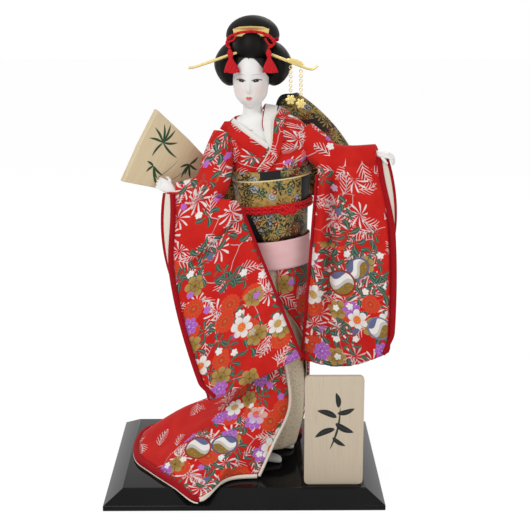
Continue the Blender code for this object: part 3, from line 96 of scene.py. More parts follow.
# Kimono skirt: angle round the waist from the front, then points from the hip down to the hem
SKIRT_NET = (
    (20, (0.0340, -0.0325, 0.165), (0.0450, -0.0400, 0.125), (0.0470, -0.0490, 0.088),
     (0.0290, -0.0630, 0.051), (0.0135, -0.0790, 0.0215)),
    (32, (0.0245, -0.0340, 0.165), (0.0360, -0.0440, 0.125), (0.0400, -0.0530, 0.090),
     (0.0140, -0.0690, 0.052), (-0.0114, -0.0831, 0.0215)),
    (44, (0.0150, -0.0320, 0.165), (0.0230, -0.0420, 0.125), (0.0260, -0.0520, 0.092),
     (-0.0040, -0.0770, 0.048), (-0.0263, -0.0965, 0.0215)),
    (56, (0.0060, -0.0275, 0.165), (0.0110, -0.0360, 0.125), (0.0120, -0.0470, 0.094),
     (-0.0220, -0.0850, 0.041), (-0.0472, -0.1285, 0.0172)),
    (66, (-0.0005, -0.0210, 0.165), (0.0020, -0.0280, 0.125), (0.0010, -0.0380, 0.094),
     (-0.0420, -0.0690, 0.046), (-0.0733, -0.1006, 0.0215)),
    (76, (-0.0050, -0.0120, 0.165), (-0.0050, -0.0180, 0.125), (-0.0070, -0.0250, 0.093),
     (-0.0560, -0.0450, 0.053), (-0.1012, -0.0613, 0.0215)),
    (88, (-0.0080, 0.0020, 0.165), (-0.0090, -0.0010, 0.125), (-0.0115, -0.0040, 0.091),
     (-0.0680, -0.0150, 0.059), (-0.1208, -0.0281, 0.0215)),
    (102, (-0.0095, 0.0210, 0.165), (-0.0105, 0.0220, 0.125), (-0.0130, 0.0200, 0.0865),
     (-0.0740, 0.0190, 0.058), (-0.1253, 0.0200, 0.0215)),
    (125, (-0.0050, 0.0380, 0.165), (-0.0090, 0.0440, 0.125), (-0.0140, 0.0460, 0.084),
     (-0.0680, 0.0520, 0.050), (-0.1140, 0.0600, 0.0215)),
    (150, (0.0080, 0.0520, 0.165), (0.0030, 0.0600, 0.125), (-0.0060, 0.0660, 0.082),
     (-0.0400, 0.0760, 0.046), (-0.0720, 0.0850, 0.0215)),
    (180, (0.0280, 0.0580, 0.165), (0.0230, 0.0680, 0.125), (0.0140, 0.0760, 0.085),
     (-0.0030, 0.0840, 0.048), (-0.0190, 0.0900, 0.0215)),
    (210, (0.0490, 0.0540, 0.165), (0.0460, 0.0640, 0.125), (0.0410, 0.0730, 0.086),
     (0.0330, 0.0810, 0.050), (0.0240, 0.0870, 0.0215)),
    (240, (0.0650, 0.0430, 0.165), (0.0640, 0.0530, 0.125), (0.0610, 0.0630, 0.087),
     (0.0550, 0.0720, 0.051), (0.0470, 0.0790, 0.0215)),
    (270, (0.0735, 0.0270, 0.165), (0.0745, 0.0360, 0.125), (0.0725, 0.0470, 0.088),
     (0.0670, 0.0590, 0.051), (0.0600, 0.0690, 0.0215)),
    (300, (0.0730, 0.0090, 0.165), (0.0755, 0.0190, 0.125), (0.0745, 0.0310, 0.088),
     (0.0700, 0.0450, 0.051), (0.0640, 0.0580, 0.0215)),
    (330, (0.0665, -0.0080, 0.165), (0.0730, 0.0060, 0.125), (0.0730, 0.0210, 0.088),
     (0.0690, 0.0370, 0.051), (0.0640, 0.0510, 0.0215)),
    (354, (0.0590, -0.0195, 0.165), (0.0700, -0.0060, 0.125), (0.0705, 0.0140, 0.088),
     (0.0670, 0.0310, 0.051), (0.0620, 0.0450, 0.0215)),
)

# Arms with the cloth round them: points from shoulder to wrist, with the radius at each
DRAPED_ARMS = {
    "right": (((-0.0200, 0.0160, 0.3838), 0.0124), ((-0.0265, 0.0080, 0.3600), 0.0165),
              ((-0.0345, -0.0100, 0.3300), 0.0185), ((-0.0520, -0.0160, 0.3250), 0.0150),
              ((-0.0740, -0.0190, 0.3255), 0.0098)),
    "left": (((0.0640, 0.0120, 0.3860), 0.0140), ((0.0770, 0.0070, 0.3720), 0.0165),
             ((0.0930, 0.0005, 0.3590), 0.0165), ((0.1150, -0.0080, 0.3600), 0.0135),
             ((0.1430, -0.0170, 0.3655), 0.0108)),
}
# Sleeve bags: inner top, outer top, outer bottom, inner bottom, then the outer hem's bulge and the foot's sag
BAGS = {
    "right": ((-0.0060, -0.0330, 0.3190), (-0.0840, -0.0200, 0.3270), (-0.0400, -0.0500, 0.0960),
              (0.0620, -0.0640, 0.1530), 0.0125, 0.0020),
    "left": ((0.0795, -0.0140, 0.3560), (0.1510, -0.0190, 0.3660), (0.1619, -0.0280, 0.1460),
             (0.0630, -0.0360, 0.1400), 0.0060, 0.0130),
}
BAG_HALF_THICKNESS, SLEEVE_VOXEL = 0.0031, 0.0013
HEAD_CENTRE, HEAD_RADII = (0.0078, -0.0010, 0.4485), (0.0192, 0.0235, 0.0325)
HEAD_TURN, HEAD_NOD = math.radians(-6.0), math.radians(5.0)
# Features from the head's centre: eyes outward, what the eyes' painting is raised by, and the lips' height
EYE_OUT, EYE_LEVEL, LIP_LEVEL = 0.0078, 0.0012, -0.0216
# Masses of hair: centre and half sizes
HAIR = {
    "hair_crown": ((0.0086, 0.0000, 0.4770), (0.0205, 0.0275, 0.0155)),
    "hair_wing_right": ((-0.0178, 0.0095, 0.4590), (0.0135, 0.0225, 0.0235)),
    "hair_wing_left": ((0.0378, 0.0095, 0.4590), (0.0140, 0.0225, 0.0235)),
    "hair_nape": ((0.0100, 0.0230, 0.4560), (0.0250, 0.0230, 0.0290)),
    "hair_topknot": ((0.0100, 0.0040, 0.4890), (0.0284, 0.0235, 0.0213)),
}
# The hair cord's way, from the right tassel over the topknot to the left one
HAIR_CORD = (
    (-0.0140, -0.0235, 0.4775), (-0.0172, -0.0215, 0.4830), (-0.0130, -0.0208, 0.4890),
    (-0.0050, -0.0226, 0.4930), (0.0082, -0.0234, 0.4948), (0.0205, -0.0226, 0.4930),
    (0.0285, -0.0208, 0.4890), (0.0328, -0.0215, 0.4830), (0.0262, -0.0235, 0.4775),
)
# Hairpins: outer and inner end
PINS = {
    "right": ((-0.0560, -0.0200, 0.4560), (-0.0020, -0.0140, 0.4740)),
    "left": ((0.0762, -0.0200, 0.4530), (0.0190, -0.0140, 0.4740)),
}
# Dangles: the place along x where each hangs, and how far it hangs down
DANGLES = {"front": (0.0498, 0.0440), "rear": (0.0606, 0.0440)}
LINK_STEP = 0.0024
# The bow's middle and the way that its loops spread, then the base, the plate and its foot
BOW_CENTRE, BOW_AXIS = Vector((0.0350, 0.0645, 0.3200)), Vector((0.799, 0.0, 0.602)).normalized()
BASE_WIDE, BASE_DEEP, BASE_EDGE_HEIGHT, BASE_TOP_HEIGHT, BASE_BEVEL = 0.300, 0.240, 0.0056, 0.018, 0.020
PLATE_SIZE, PLATE_MIDDLE = (0.063, 0.006, 0.123), (0.0958, -0.0912, 0.0798)
PLATE_FOOT_SIZE, PLATE_FOOT_MIDDLE = (0.030, 0.014, 0.022), (0.0958, -0.0809, 0.0293)
# How far along the cloth map the backs of plate and board are laid, so that no strokes fall on them
PLATE_BACK_AWAY, BOARD_BACK_AWAY = 0.2, 0.3
# The battledore: the end of its handle, the way along it and the way across it
BOARD_END = Vector((-0.1120, -0.0158, 0.3750))
BOARD_ALONG, BOARD_ACROSS = Vector((0.736, 0.469, -0.480)), Vector((0.432, 0.218, 0.875))


# The floor's distance under the base, and the lens that the photograph's corners gave
FLOOR_GAP, LENS_MM, SENSOR_MM = 0.0004, 81.5, 36.0
CAMERA_AT, CAMERA_DOWN, CAMERA_ASIDE = (0.0126, -1.2905, 0.5646), math.radians(14.171), math.radians(-0.458)


# Settings

RED, DEEP_RED = (0.53, 0.010, 0.008), (0.33, 0.003, 0.008)
CORD_RED, PINK = (0.68, 0.010, 0.014), (0.86, 0.56, 0.56)


def colour_setting(name, description, default):
    return bpy.props.FloatVectorProperty(name=name, description=description, subtype="COLOR", size=3,
                                         default=default, min=0.0, max=1.0)


def length_setting(name, description, default):
    return bpy.props.FloatProperty(name=name, description=description, unit="LENGTH", default=default,
                                   min=0.0002, max=0.01, precision=4)


class DollDressSettings(bpy.types.PropertyGroup):
    """Sizes and colours of the dress."""

    cloth_red: colour_setting("Cloth red", "Ground colour of the printed kimono", RED)
    hem_red: colour_setting("Hem red", "Colour of the plain turned edges", DEEP_RED)
    cord_red: colour_setting("Cord red", "Light colour of the braided cords", CORD_RED)
    sash_pink: colour_setting("Sash pink", "Light colour of the sash under the obi", PINK)
    cloth_wall: length_setting("Cloth thickness", "Thickness of the skirt, the under-skirt and the bow",
                               0.0014)
    bodice_wall: length_setting("Bodice thickness", "Thickness of the upper kimono", 0.0016)
    obi_cord_radius: length_setting("Obi cord radius", "Half the thickness of each strand of the obi cord",
                                    0.0023)
    hair_cord_radius: length_setting("Hair cord radius", "Half the thickness of the cord in the hair", 0.0014)


def dress_settings():
    return bpy.context.scene.doll_dress


# Shader sums

class Wire:
    """One socket of a node tree, written into sums with ordinary signs."""

    def __init__(self, tree, socket):
        self.tree, self.socket = tree, socket

    def math(self, operation, *others, clamp=False):
        """This value and others through a Math node."""
        node = self.tree.nodes.new("ShaderNodeMath")
        node.operation, node.use_clamp = operation, clamp
        for slot, value in zip(node.inputs, (self, *others)):
            plug(self.tree, slot, value)
        return Wire(self.tree, node.outputs[0])

    def __add__(self, other):
        return self.math("ADD", other)

    def __mul__(self, other):
        return self.math("MULTIPLY", other)

    def __sub__(self, other):
        return self.math("SUBTRACT", other)

    def __truediv__(self, other):
        return self.math("DIVIDE", other)

    def __pow__(self, other):
        return self.math("POWER", other)

    def __neg__(self):
        return self.math("MULTIPLY", -1.0)

    def __abs__(self):
        return self.math("ABSOLUTE")

    def __rsub__(self, other):
        return (-self).math("ADD", other)

    __radd__, __rmul__ = __add__, __mul__

    def over(self, level, blur):
        """1 where this is above a level, 0 below, eased over a blur."""
        return ((self - level) / blur).math("ADD", 0.5, clamp=True)

    def under(self, level, blur):
        """1 where this is below a level, 0 above, eased over a blur."""
        return ((level - self) / blur).math("ADD", 0.5, clamp=True)


def plug(tree, slot, value):
    """Links a wire to a socket, or sets the socket's value."""
    if isinstance(value, Wire):
        tree.links.new(value.socket, slot)
    elif isinstance(value, (tuple, list)) and len(value) == 3 and slot.type == "RGBA":
        slot.default_value = (*value, 1.0)
    else:
        slot.default_value = value


class Recipe:
    """A material under making."""

    def __init__(self, name):
        self.material = bpy.data.materials.new(name)
        self.material.use_nodes = True
        self.tree = self.material.node_tree
        self.shader = self.tree.nodes["Principled BSDF"]

    def node(self, kind, settings=None, values=None, out=0):
        """A node of a kind, with its settings made first, then its sockets filled."""
        made = self.tree.nodes.new("ShaderNode" + kind)
        for key, value in (settings or {}).items():
            if key == "stops":
                ramp = made.color_ramp
                while len(ramp.elements) < len(value):
                    ramp.elements.new(0.5)
                for element, (place, colour) in zip(ramp.elements, value):
                    element.position, element.color = place, (*colour, 1.0)
            else:
                setattr(made, key, value)
        for key, value in (values or {}).items():
            plug(self.tree, made.inputs[key], value)
        return Wire(self.tree, made.outputs[out])

    def mix(self, share, low, high):
        return self.node("Mix", {"data_type": "RGBA"}, {0: share, 6: low, 7: high}, 2)

    def shift(self, vector, move):
        return self.node("VectorMath", {"operation": "ADD"}, {0: vector, 1: move})

    def stretch(self, vector, scale):
        return self.node("VectorMath", {"operation": "MULTIPLY"}, {0: vector, 1: scale})

    def split(self, vector):
        made = self.node("SeparateXYZ", None, {0: vector}).socket.node
        return [Wire(self.tree, made.outputs[i]) for i in range(3)]

    def less(self, vector, other):
        return self.node("VectorMath", {"operation": "SUBTRACT"}, {0: vector, 1: other})

    def local(self, vector, at, turn):
        """Places as seen from a spot, turned about it."""
        return self.node("Mapping", {"vector_type": "TEXTURE"},
                         {"Vector": vector, "Location": at, "Rotation": turn})

    def cells(self, vector, scale, settings=None, **values):
        """The node of a flat cell pattern."""
        return self.node("TexVoronoi", {"voronoi_dimensions": "2D", **(settings or {})},
                         {"Vector": vector, "Scale": scale, **values}).socket.node

    def cloth(self):
        """The cloth map, in metres along and down the cloth."""
        return self.node("UVMap", {"uv_map": "cloth"})

    def place(self):
        """Where on the doll this is, in metres."""
        return self.node("TexCoord", None, None, "Object")

    def field(self, name):
        """One of the mesh's number fields."""
        return self.node("Attribute", {"attribute_name": name}, None, "Fac")

    def grain(self, vector, scale, detail=2.0, rough=0.5, out=0):
        return self.node("TexNoise", {"noise_dimensions": "3D"},
                         {"Vector": vector, "Scale": scale, "Detail": detail, "Roughness": rough}, out)

    def finish(self, colour, rough=0.5, metal=0.0, bump=None, strength=0.3, depth=0.001, sheen=0.0,
               specular=0.5):
        """Fills the shader's sockets and returns the material."""
        values = {"Base Color": colour, "Roughness": rough, "Metallic": metal, "Sheen Weight": sheen,
                  "Specular IOR Level": specular}
        if bump is not None:
            values["Normal"] = self.node("Bump", None, {"Strength": strength, "Distance": depth,
                                                        "Height": bump})
        for key, value in values.items():
            plug(self.tree, self.shader.inputs[key], value)
        return self.material


# Printed crepe

def nearest(r, cloth, spacing, seed, spread):
    """The way from the nearest motif's middle, and two numbers drawn for that motif."""
    moved = r.shift(cloth, (seed * 1.37, seed * 0.73, 0.0))
    cell = r.cells(moved, 1.0 / spacing, Randomness=spread)
    away = r.less(moved, Wire(r.tree, cell.outputs["Position"]))
    chance, twist, _ = r.split(Wire(r.tree, cell.outputs["Color"]))
    return away, chance, twist


def round_motif(r, cloth, spacing, seed, spread):
    """Distance and angle from the nearest motif's middle, and its two numbers."""
    away, chance, twist = nearest(r, cloth, spacing, seed, spread)
    x, y, _ = r.split(away)
    reach = r.node("VectorMath", {"operation": "LENGTH"}, {0: away}, "Value")
    return reach, y.math("ARCTAN2", x) + twist * TURN, chance, twist


def blossom(r, cloth, spacing, seed, radius, petals, notch, share):
    """A round flower's mask, its distance from the middle, its angle and its second number."""
    reach, angle, chance, twist = round_motif(r, cloth, spacing, seed, 0.75)
    lobe = abs((angle * (petals / 2.0)).math("COSINE")) ** 0.6
    edge = (lobe * notch + (1.0 - notch)) * radius
    mask = (edge - reach).over(0.0, 0.0005) * chance.under(share, 0.02)
    return mask, reach, angle, twist


def sprig(r, cloth, spacing, seed, radius, rays, width, share):
    """A fan of tapering needles or leaves: its mask, its distance from the middle and its rays' wave."""
    reach, angle, chance, _ = round_motif(r, cloth, spacing, seed, 0.9)
    wave = abs((angle * (rays / 2.0) + reach * 90.0).math("COSINE"))
    body = (reach / radius * math.pi).math("SINE").math("MAXIMUM", 0.0)
    blade = (wave - (1.0 - width * body)).over(0.0, 0.06)
    inside = reach.under(radius, 0.0004) * reach.over(radius * 0.10, 0.0005)
    return blade * inside * chance.under(share, 0.02), reach, wave


def fern(r, cloth, spacing, seed, long, wide, share):
    """A bent stem with slanting leaflets, one to a cell and turned at random."""
    away, chance, twist = nearest(r, cloth, spacing, seed, 0.85)
    turned = r.node("VectorRotate", {"rotation_type": "Z_AXIS"}, {"Vector": away, "Angle": twist * TURN})
    x, y, _ = r.split(turned)
    arc = ((x / long + 0.5) * math.pi).math("SINE").math("MAXIMUM", 0.0)
    off = abs(y - arc * (long * 0.14))
    leaflet = abs(((x - off * 1.15) / LEAFLET_STEP).math("FRACT") - 0.5)
    blade = leaflet.under(0.16 - off * (0.09 / wide), 0.10) * (arc * wide - off).over(0.0, 0.0006)
    stem = off.under(0.00030, 0.0004) * arc.over(0.08, 0.06)
    within = abs(x).under(long * 0.5, 0.0005)
    return blade.math("MAXIMUM", stem) * chance.under(share, 0.02) * within


def shell(r, cloth, at, turn, long, wide):
    """An oval clam shell: its inside, its rim, and the place within it along and across."""
    x, y, _ = r.split(r.local(cloth, (*at, 0.0), (0.0, 0.0, turn)))
    reach = ((x / long) ** 2.0 + (y / wide) ** 2.0).math("SQRT")
    return reach.under(1.0, 0.03), reach.over(0.86, 0.03), x / long, y / wide


# One turn in radians, and how far apart the leaflets of a fern stand
TURN, LEAFLET_STEP = 6.283, 0.0043
BLACK = (0.006, 0.006, 0.007)
SILVER, WHITE, GOLD, OLIVE = (0.58, 0.46, 0.48), (0.84, 0.80, 0.76), (0.46, 0.30, 0.09), (0.27, 0.16, 0.035)
ORANGE, CORAL = (0.70, 0.060, 0.020), (0.56, 0.020, 0.012)
PURPLE, VIOLET = (0.47, 0.15, 0.55), (0.26, 0.055, 0.40)
LEAF, PALE_LEAF, SLATE = (0.014, 0.052, 0.034), (0.30, 0.38, 0.28), (0.13, 0.14, 0.27)
# Where along the roll of crepe each printed piece is cut. The skirt is cut at its start
ROLL = {"sleeve_right": 2.0, "sleeve_left": 4.0, "bodice": 6.0, "collar_right": 7.0, "collar_left": 7.5}
# Clam shells: where on the roll, turn, half sizes and the rim's colour
SHELLS = (
    ((-0.1213, 0.2315), 4.31, 0.0150, 0.0142, (0.30, 0.035, 0.02)),
    ((-0.1330, 0.2042), 4.05, 0.0156, 0.0124, (0.10, 0.10, 0.20)),
    ((4.0285, 0.1150), 2.35, 0.0140, 0.0108, (0.12, 0.12, 0.26)),
    ((4.0095, 0.1302), 3.29, 0.0150, 0.0146, (0.30, 0.035, 0.02)),
    ((4.0439, 0.1816), 2.75, 0.0128, 0.0132, (0.16, 0.20, 0.32)),
)


def crepe_bump(r, cloth, size=1900.0):
    """The fine puckered height of crepe."""
    fine = r.grain(cloth, size, 2.0, 0.6)
    cross = r.grain(r.stretch(cloth, (1.0, 3.2, 1.0)), size * 0.4, 1.0, 0.5)
    return fine * 0.6 + cross * 0.6


def printed_crepe():
    """Red crepe with sprays, leaves, blossoms and clam shells, one roll for every printed piece.

    Field bloom says where the flowers crowd, and below 0 it thins the sprays too. Field hem is plain red.
    """
    r = Recipe("printed_crepe")
    cloth = r.cloth()
    sway = r.shift(r.grain(cloth, 60.0, 1.0, 0.5, "Color"), (-0.5, -0.5, -0.5))
    flow = r.shift(cloth, r.stretch(sway, (0.004, 0.004, 0.0)))
    bloom = r.field("bloom")
    calm = (bloom + 1.0).math("MINIMUM", 1.0)
    patch = r.grain(r.shift(cloth, (3.0, 0.0, 0.0)), 26.0, 1.0)
    ground = tuple(dress_settings().cloth_red)
    colour = r.mix(r.grain(cloth, 45.0, 2.0).over(0.55, 0.5), ground, (0.63, 0.022, 0.014))

    stems = Wire(r.tree, r.cells(r.shift(flow, (5.0, 1.0, 0.0)), 26.0,
                                 {"feature": "DISTANCE_TO_EDGE"}).outputs[0])
    colour = r.mix(stems.under(0.009, 0.008) * (patch * calm).over(0.50, 0.06), colour, SILVER)
    for step, (spacing, long, wide) in enumerate(((0.025, 0.0270, 0.0074), (0.022, 0.0240, 0.0062))):
        mask = fern(r, flow, spacing, 7.1 + step * 2.3, long, wide, calm * (0.62 - step * 0.12))
        colour = r.mix(mask, colour, r.mix(patch, SILVER, WHITE))
    mask, reach, _ = sprig(r, flow, 0.027, 17.3, 0.0145, 10.0, 0.14, calm * 0.52)
    colour = r.mix(mask, colour, r.mix(reach / 0.0145, SILVER, WHITE))

    for step, (spacing, radius) in enumerate(((0.024, 0.0135), (0.022, 0.0120), (0.026, 0.0125))):
        mask, reach, wave = sprig(r, flow, spacing, 1.9 + step * 4.7, radius, 4.0 + step, 0.24,
                                  bloom * (0.46 - step * 0.10) + 0.12 - step * 0.05)
        shade = r.mix(wave.over(0.985, 0.012), LEAF, PALE_LEAF)
        colour = r.mix(mask, colour, r.mix(reach / radius, shade, (0.05, 0.12, 0.085)))

    flowers = (
        (0.034, 0.0108, 14.0, 0.13, CORAL, ORANGE, (0.45, 0.17, 0.05), 0.50),
        (0.035, 0.0110, 6.0, 0.34, OLIVE, GOLD, (0.16, 0.09, 0.02), 0.44),
        (0.038, 0.0098, 7.0, 0.36, VIOLET, PURPLE, (0.62, 0.36, 0.66), 0.46),
        (0.037, 0.0114, 6.0, 0.42, (0.70, 0.64, 0.60), WHITE, ORANGE, 0.42),
    )
    for step, (spacing, radius, petals, notch, inner, outer, line, share) in enumerate(flowers):
        mask, reach, angle, twist = blossom(r, flow, spacing, 11.3 + step * 3.9, radius, petals, notch,
                                            bloom * share + (bloom - 1.0) * 0.05)
        petal = r.mix(reach / radius, inner, outer)
        vein = abs((angle * (petals / 2.0)).math("COSINE"))
        if outer == WHITE:
            heart = r.mix(twist.over(0.62, 0.02), (0.78, 0.13, 0.02), GOLD)
            stamens = Wire(r.tree, r.cells(cloth, 900.0).outputs["Distance"])
            heart = r.mix(stamens.under(0.25, 0.1), heart, (0.85, 0.45, 0.15))
            petal = r.mix(reach.under(radius * 0.38, 0.0006), petal, heart)
            petal = r.mix(vein.under(0.10, 0.08) * reach.over(radius * 0.4, 0.001), petal, (0.58, 0.40, 0.38))
        else:
            petal = r.mix(vein.under(0.16, 0.08) * reach.under(radius * 0.75, 0.002), petal, line)
            petal = r.mix(reach.under(radius * 0.13, 0.0004), petal, line)
            ring = reach.over(radius * 0.42, 0.0004) * reach.under(radius * 0.50, 0.0004)
            petal = r.mix(ring * 0.5, petal, line)
        colour = r.mix(mask, colour, petal)
    mask, reach, _, twist = blossom(r, flow, 0.019, 31.7, 0.0040, 5.0, 0.4, bloom * 0.32 + 0.10)
    small = r.mix(twist.over(0.5, 0.02), WHITE, r.mix(twist.over(0.75, 0.02), PURPLE, SLATE))
    colour = r.mix(mask, colour, small)

    for at, turn, long, wide, plain in SHELLS:
        inside, rim, x, y = shell(r, cloth, at, turn, long, wide)
        wave = y + (x * 3.0).math("SINE") * 0.35
        inner = r.mix(wave.over(0.05, 0.05), (0.55, 0.53, 0.50), r.mix(wave.over(0.55, 0.05), WHITE, SLATE))
        inner = r.mix(wave.under(-0.25, 0.05), inner, OLIVE)
        inner = r.mix(r.grain(cloth, 500.0).over(0.62, 0.05) * wave.under(-0.2, 0.1), inner, GOLD)
        inner = r.mix(rim, inner, plain)
        colour = r.mix(inside, colour, inner)
    colour = r.mix(r.field("hem"), colour, tuple(dress_settings().hem_red))
    weave = crepe_bump(r, cloth)
    # painted shade: the crepe's low puckers darken every colour under them, print included
    colour = r.mix(weave.under(0.50, 0.16) * 0.30, colour, r.stretch(colour, (0.55, 0.55, 0.55)))
    return r.finish(colour, 0.82, bump=weave, strength=0.35, depth=0.0004, sheen=0.04, specular=0.12)


def plain_crepe(name, shade, dark, size=1900.0, speckle=0.0):
    """Undyed or one-colour crepe with painted shade in its low puckers, speckled and streaked where asked."""
    r = Recipe(name)
    cloth = r.cloth()
    weave = crepe_bump(r, cloth, size)
    # painted shade: the crepe's low puckers take the dark colour
    colour = r.mix(weave.under(0.52, 0.3), shade, dark)
    if speckle:
        spots = r.grain(r.stretch(cloth, (2.0, 1.0, 1.0)), 420.0, 2.0, 0.6)
        colour = r.mix(spots.under(0.40, 0.05) * speckle, colour, (0.22, 0.17, 0.10))
        streaks = r.grain(r.stretch(cloth, (1.0, 0.05, 1.0)), 260.0, 2.0)
        colour = r.mix(streaks.over(0.5, 0.4) * 0.35, colour, dark)
    return r.finish(colour, 0.85, bump=weave, strength=0.4, depth=0.0004, sheen=0.04, specular=0.12)


def woven(r, cloth, gold_share):
    """Gold ground with inked flowers where gold_share is 1, and a dark one with gold twigs where it is 0."""
    x, y, _ = r.split(cloth)
    thread = (y * 9000.0).math("SINE") * 0.5 + (x * 5200.0).math("SINE") * 0.5
    gold = r.mix(r.grain(cloth, 260.0, 2.0).over(0.5, 0.3), (0.27, 0.17, 0.035), (0.50, 0.35, 0.10))
    dark = r.mix(r.grain(cloth, 60.0, 2.0).over(0.52, 0.1), (0.012, 0.009, 0.006), (0.050, 0.016, 0.008))
    for step, (spacing, radius, rays, tone) in enumerate((
            (0.013, 0.0085, 9.0, (0.30, 0.21, 0.06)), (0.017, 0.0090, 6.0, (0.05, 0.09, 0.04)),
            (0.010, 0.0060, 11.0, (0.42, 0.30, 0.10)), (0.019, 0.0080, 7.0, (0.20, 0.04, 0.015)))):
        mask, _, _ = sprig(r, cloth, spacing, 2.0 + step * 3.1, radius, rays, 0.30, 0.62)
        dark = r.mix(mask, dark, tone)
    for step, (spacing, radius, petals, tone, line) in enumerate((
            (0.014, 0.0058, 5.0, (0.045, 0.075, 0.045), (0.26, 0.27, 0.12)),
            (0.016, 0.0056, 6.0, (0.19, 0.22, 0.27), (0.50, 0.50, 0.45)),
            (0.018, 0.0042, 8.0, (0.33, 0.045, 0.025), (0.60, 0.40, 0.12)))):
        mask, reach, _, _ = blossom(r, cloth, spacing, 3.0 + step * 2.7, radius, petals, 0.55, 0.52)
        ring = (reach * 2300.0).math("SINE").over(0.2, 0.4)
        gold = r.mix(mask, gold, r.mix(ring, tone, line))
    for step in range(3):
        twig, _, _ = sprig(r, cloth, 0.013, 5.5 + step * 2.1, 0.0080, 5.0 + step * 2.0, 0.15, 0.44)
        gold = r.mix(twig, gold, (0.022, 0.030, 0.014))
    colour = r.mix(gold_share, dark, gold)
    return colour, thread


def gold_brocade(scarf=False):
    """The waist's brocade, in wedges of gold, black and dark flowers. The cloth map's middle is the front."""
    r = Recipe("scarf_brocade" if scarf else "gold_brocade")
    cloth = r.cloth()
    x, y, _ = r.split(cloth)
    if scarf:
        black = x.under(0.013, 0.0005) * x.over(-0.0095, 0.0005)
        share = x.over(0.013, 0.0005)
    else:
        low = y.over(0.0345, 0.0006)
        slant = x + y * 0.57
        low_black = slant.over(0.0472, 0.0005) * low * slant.under(0.062, 0.0005)
        high_black = x.under(-0.0345, 0.0005) * (1.0 - low)
        black = low_black.math("MAXIMUM", high_black)
        share = 1.0 - (y * 0.776 - x).over(0.0525, 0.0005) * low
    colour, thread = woven(r, cloth, share)
    colour = r.mix(black, colour, BLACK)
    if not scarf:
        colour = r.mix(y.under(0.0013, 0.0004), colour, (0.78, 0.62, 0.30))
    return r.finish(colour, 0.5, metal=0.15, bump=thread, strength=0.2, depth=0.0003, specular=0.3)


def dark_brocade():
    """The bow's brocade, gold in patches and black along its hem field."""
    r = Recipe("dark_brocade")
    cloth = r.cloth()
    colour, thread = woven(r, cloth, r.grain(cloth, 24.0, 1.0).over(0.51, 0.03))
    colour = r.mix(r.field("hem"), colour, BLACK)
    return r.finish(colour, 0.5, metal=0.1, bump=thread, strength=0.2, depth=0.0003, specular=0.25)


def braided_cord():
    """Two sets of slanting strands that cross, with painted shade in the grooves between them."""
    r = Recipe("braided_cord")
    x, y, _ = r.split(r.cloth())
    around, along = x * (210.0 * TURN), y * 900.0
    plait = (around + along).math("SINE").math("MAXIMUM", (around - along).math("SINE"))
    # painted shade: the grooves between the strands take the dark red
    colour = r.mix(plait.over(0.30, 0.6), (0.40, 0.003, 0.006), tuple(dress_settings().cord_red))
    return r.finish(colour, 0.7, bump=plait, strength=0.6, depth=0.0006, sheen=0.05, specular=0.15)


def tassel_silk():
    """Loose threads that run down the tassel."""
    r = Recipe("tassel_silk")
    thread = r.grain(r.stretch(r.cloth(), (1500.0, 25.0, 0.0)), 1.0, 1.0)
    colour = r.mix(thread.over(0.5, 0.3), (0.42, 0.003, 0.008), (0.70, 0.012, 0.020))
    return r.finish(colour, 0.6, bump=thread, strength=0.4, depth=0.0005, sheen=0.05, specular=0.2)


def black_lacquer():
    """Mirror-polished black with a faint haze."""
    r = Recipe("black_lacquer")
    haze = r.grain(r.place(), 30.0, 3.0)
    return r.finish(r.mix(haze, (0.004, 0.004, 0.004), (0.008, 0.008, 0.009)), haze * 0.06 + 0.05,
                    specular=0.12)


def pale_wood(name, motif, shade=((0.52, 0.43, 0.32), (0.63, 0.54, 0.41))):
    """Planed wood with fine straight grain along the cloth map's height, and the brush strokes of a motif."""
    r = Recipe(name)
    cloth = r.cloth()
    lines = r.grain(r.stretch(cloth, (1.0, 0.035, 1.0)), 900.0, 3.0, 0.6)
    broad = r.grain(r.stretch(cloth, (1.0, 0.06, 1.0)), 120.0, 2.0)
    colour = r.mix(lines * 0.5 + broad * 0.5, *shade)
    colour = r.mix(lines.under(0.40, 0.08) * 0.25, colour, (0.46, 0.32, 0.18))
    for at, turn, long, wide, ink in motif:
        x, y, _ = r.split(r.local(cloth, (*at, 0.0), (0.0, 0.0, turn)))
        along = (x / long).math("ADD", 0.0, clamp=True)
        swell = (along ** 0.55) * (1.0 - along) ** 0.75 * (wide * 2.1)
        curve = y + (along * math.pi).math("SINE") * (long * 0.06)
        rag = r.grain(cloth, 1400.0, 2.0) * 0.0003
        stroke = (swell - abs(curve) - rag).over(0.0, 0.00035)
        vein = abs(curve).under(0.00012, 0.0002) * 0.5
        colour = r.mix(stroke, colour, r.mix(vein, ink, (0.12, 0.16, 0.10)))
    return r.finish(colour, 0.6, bump=lines, strength=0.15, depth=0.0004, specular=0.3)


def gilt_metal():
    """Softly worn gilding."""
    r = Recipe("gilt_metal")
    wear = r.grain(r.place(), 700.0, 2.0)
    colour = r.mix(wear, (0.66, 0.49, 0.13), (0.88, 0.72, 0.32))
    return r.finish(colour, wear * 0.15 + 0.28, metal=0.7, bump=wear, strength=0.1, depth=0.0003)


def black_hair():
    """Combed strands that run along the cloth map's height."""
    r = Recipe("black_hair")
    strand = r.grain(r.stretch(r.cloth(), (900.0, 10.0, 0.0)), 1.0)
    colour = r.mix(strand.over(0.55, 0.4), (0.0020, 0.0016, 0.0012), (0.0065, 0.0050, 0.0040))
    return r.finish(colour, strand * 0.2 + 0.42, bump=strand, strength=0.35, depth=0.0005, specular=0.13)


def oval(across, up, wide, high):
    """Squared distance from an oval's middle, 1 on its edge."""
    return (across / wide) ** 2.0 + (up / high) ** 2.0


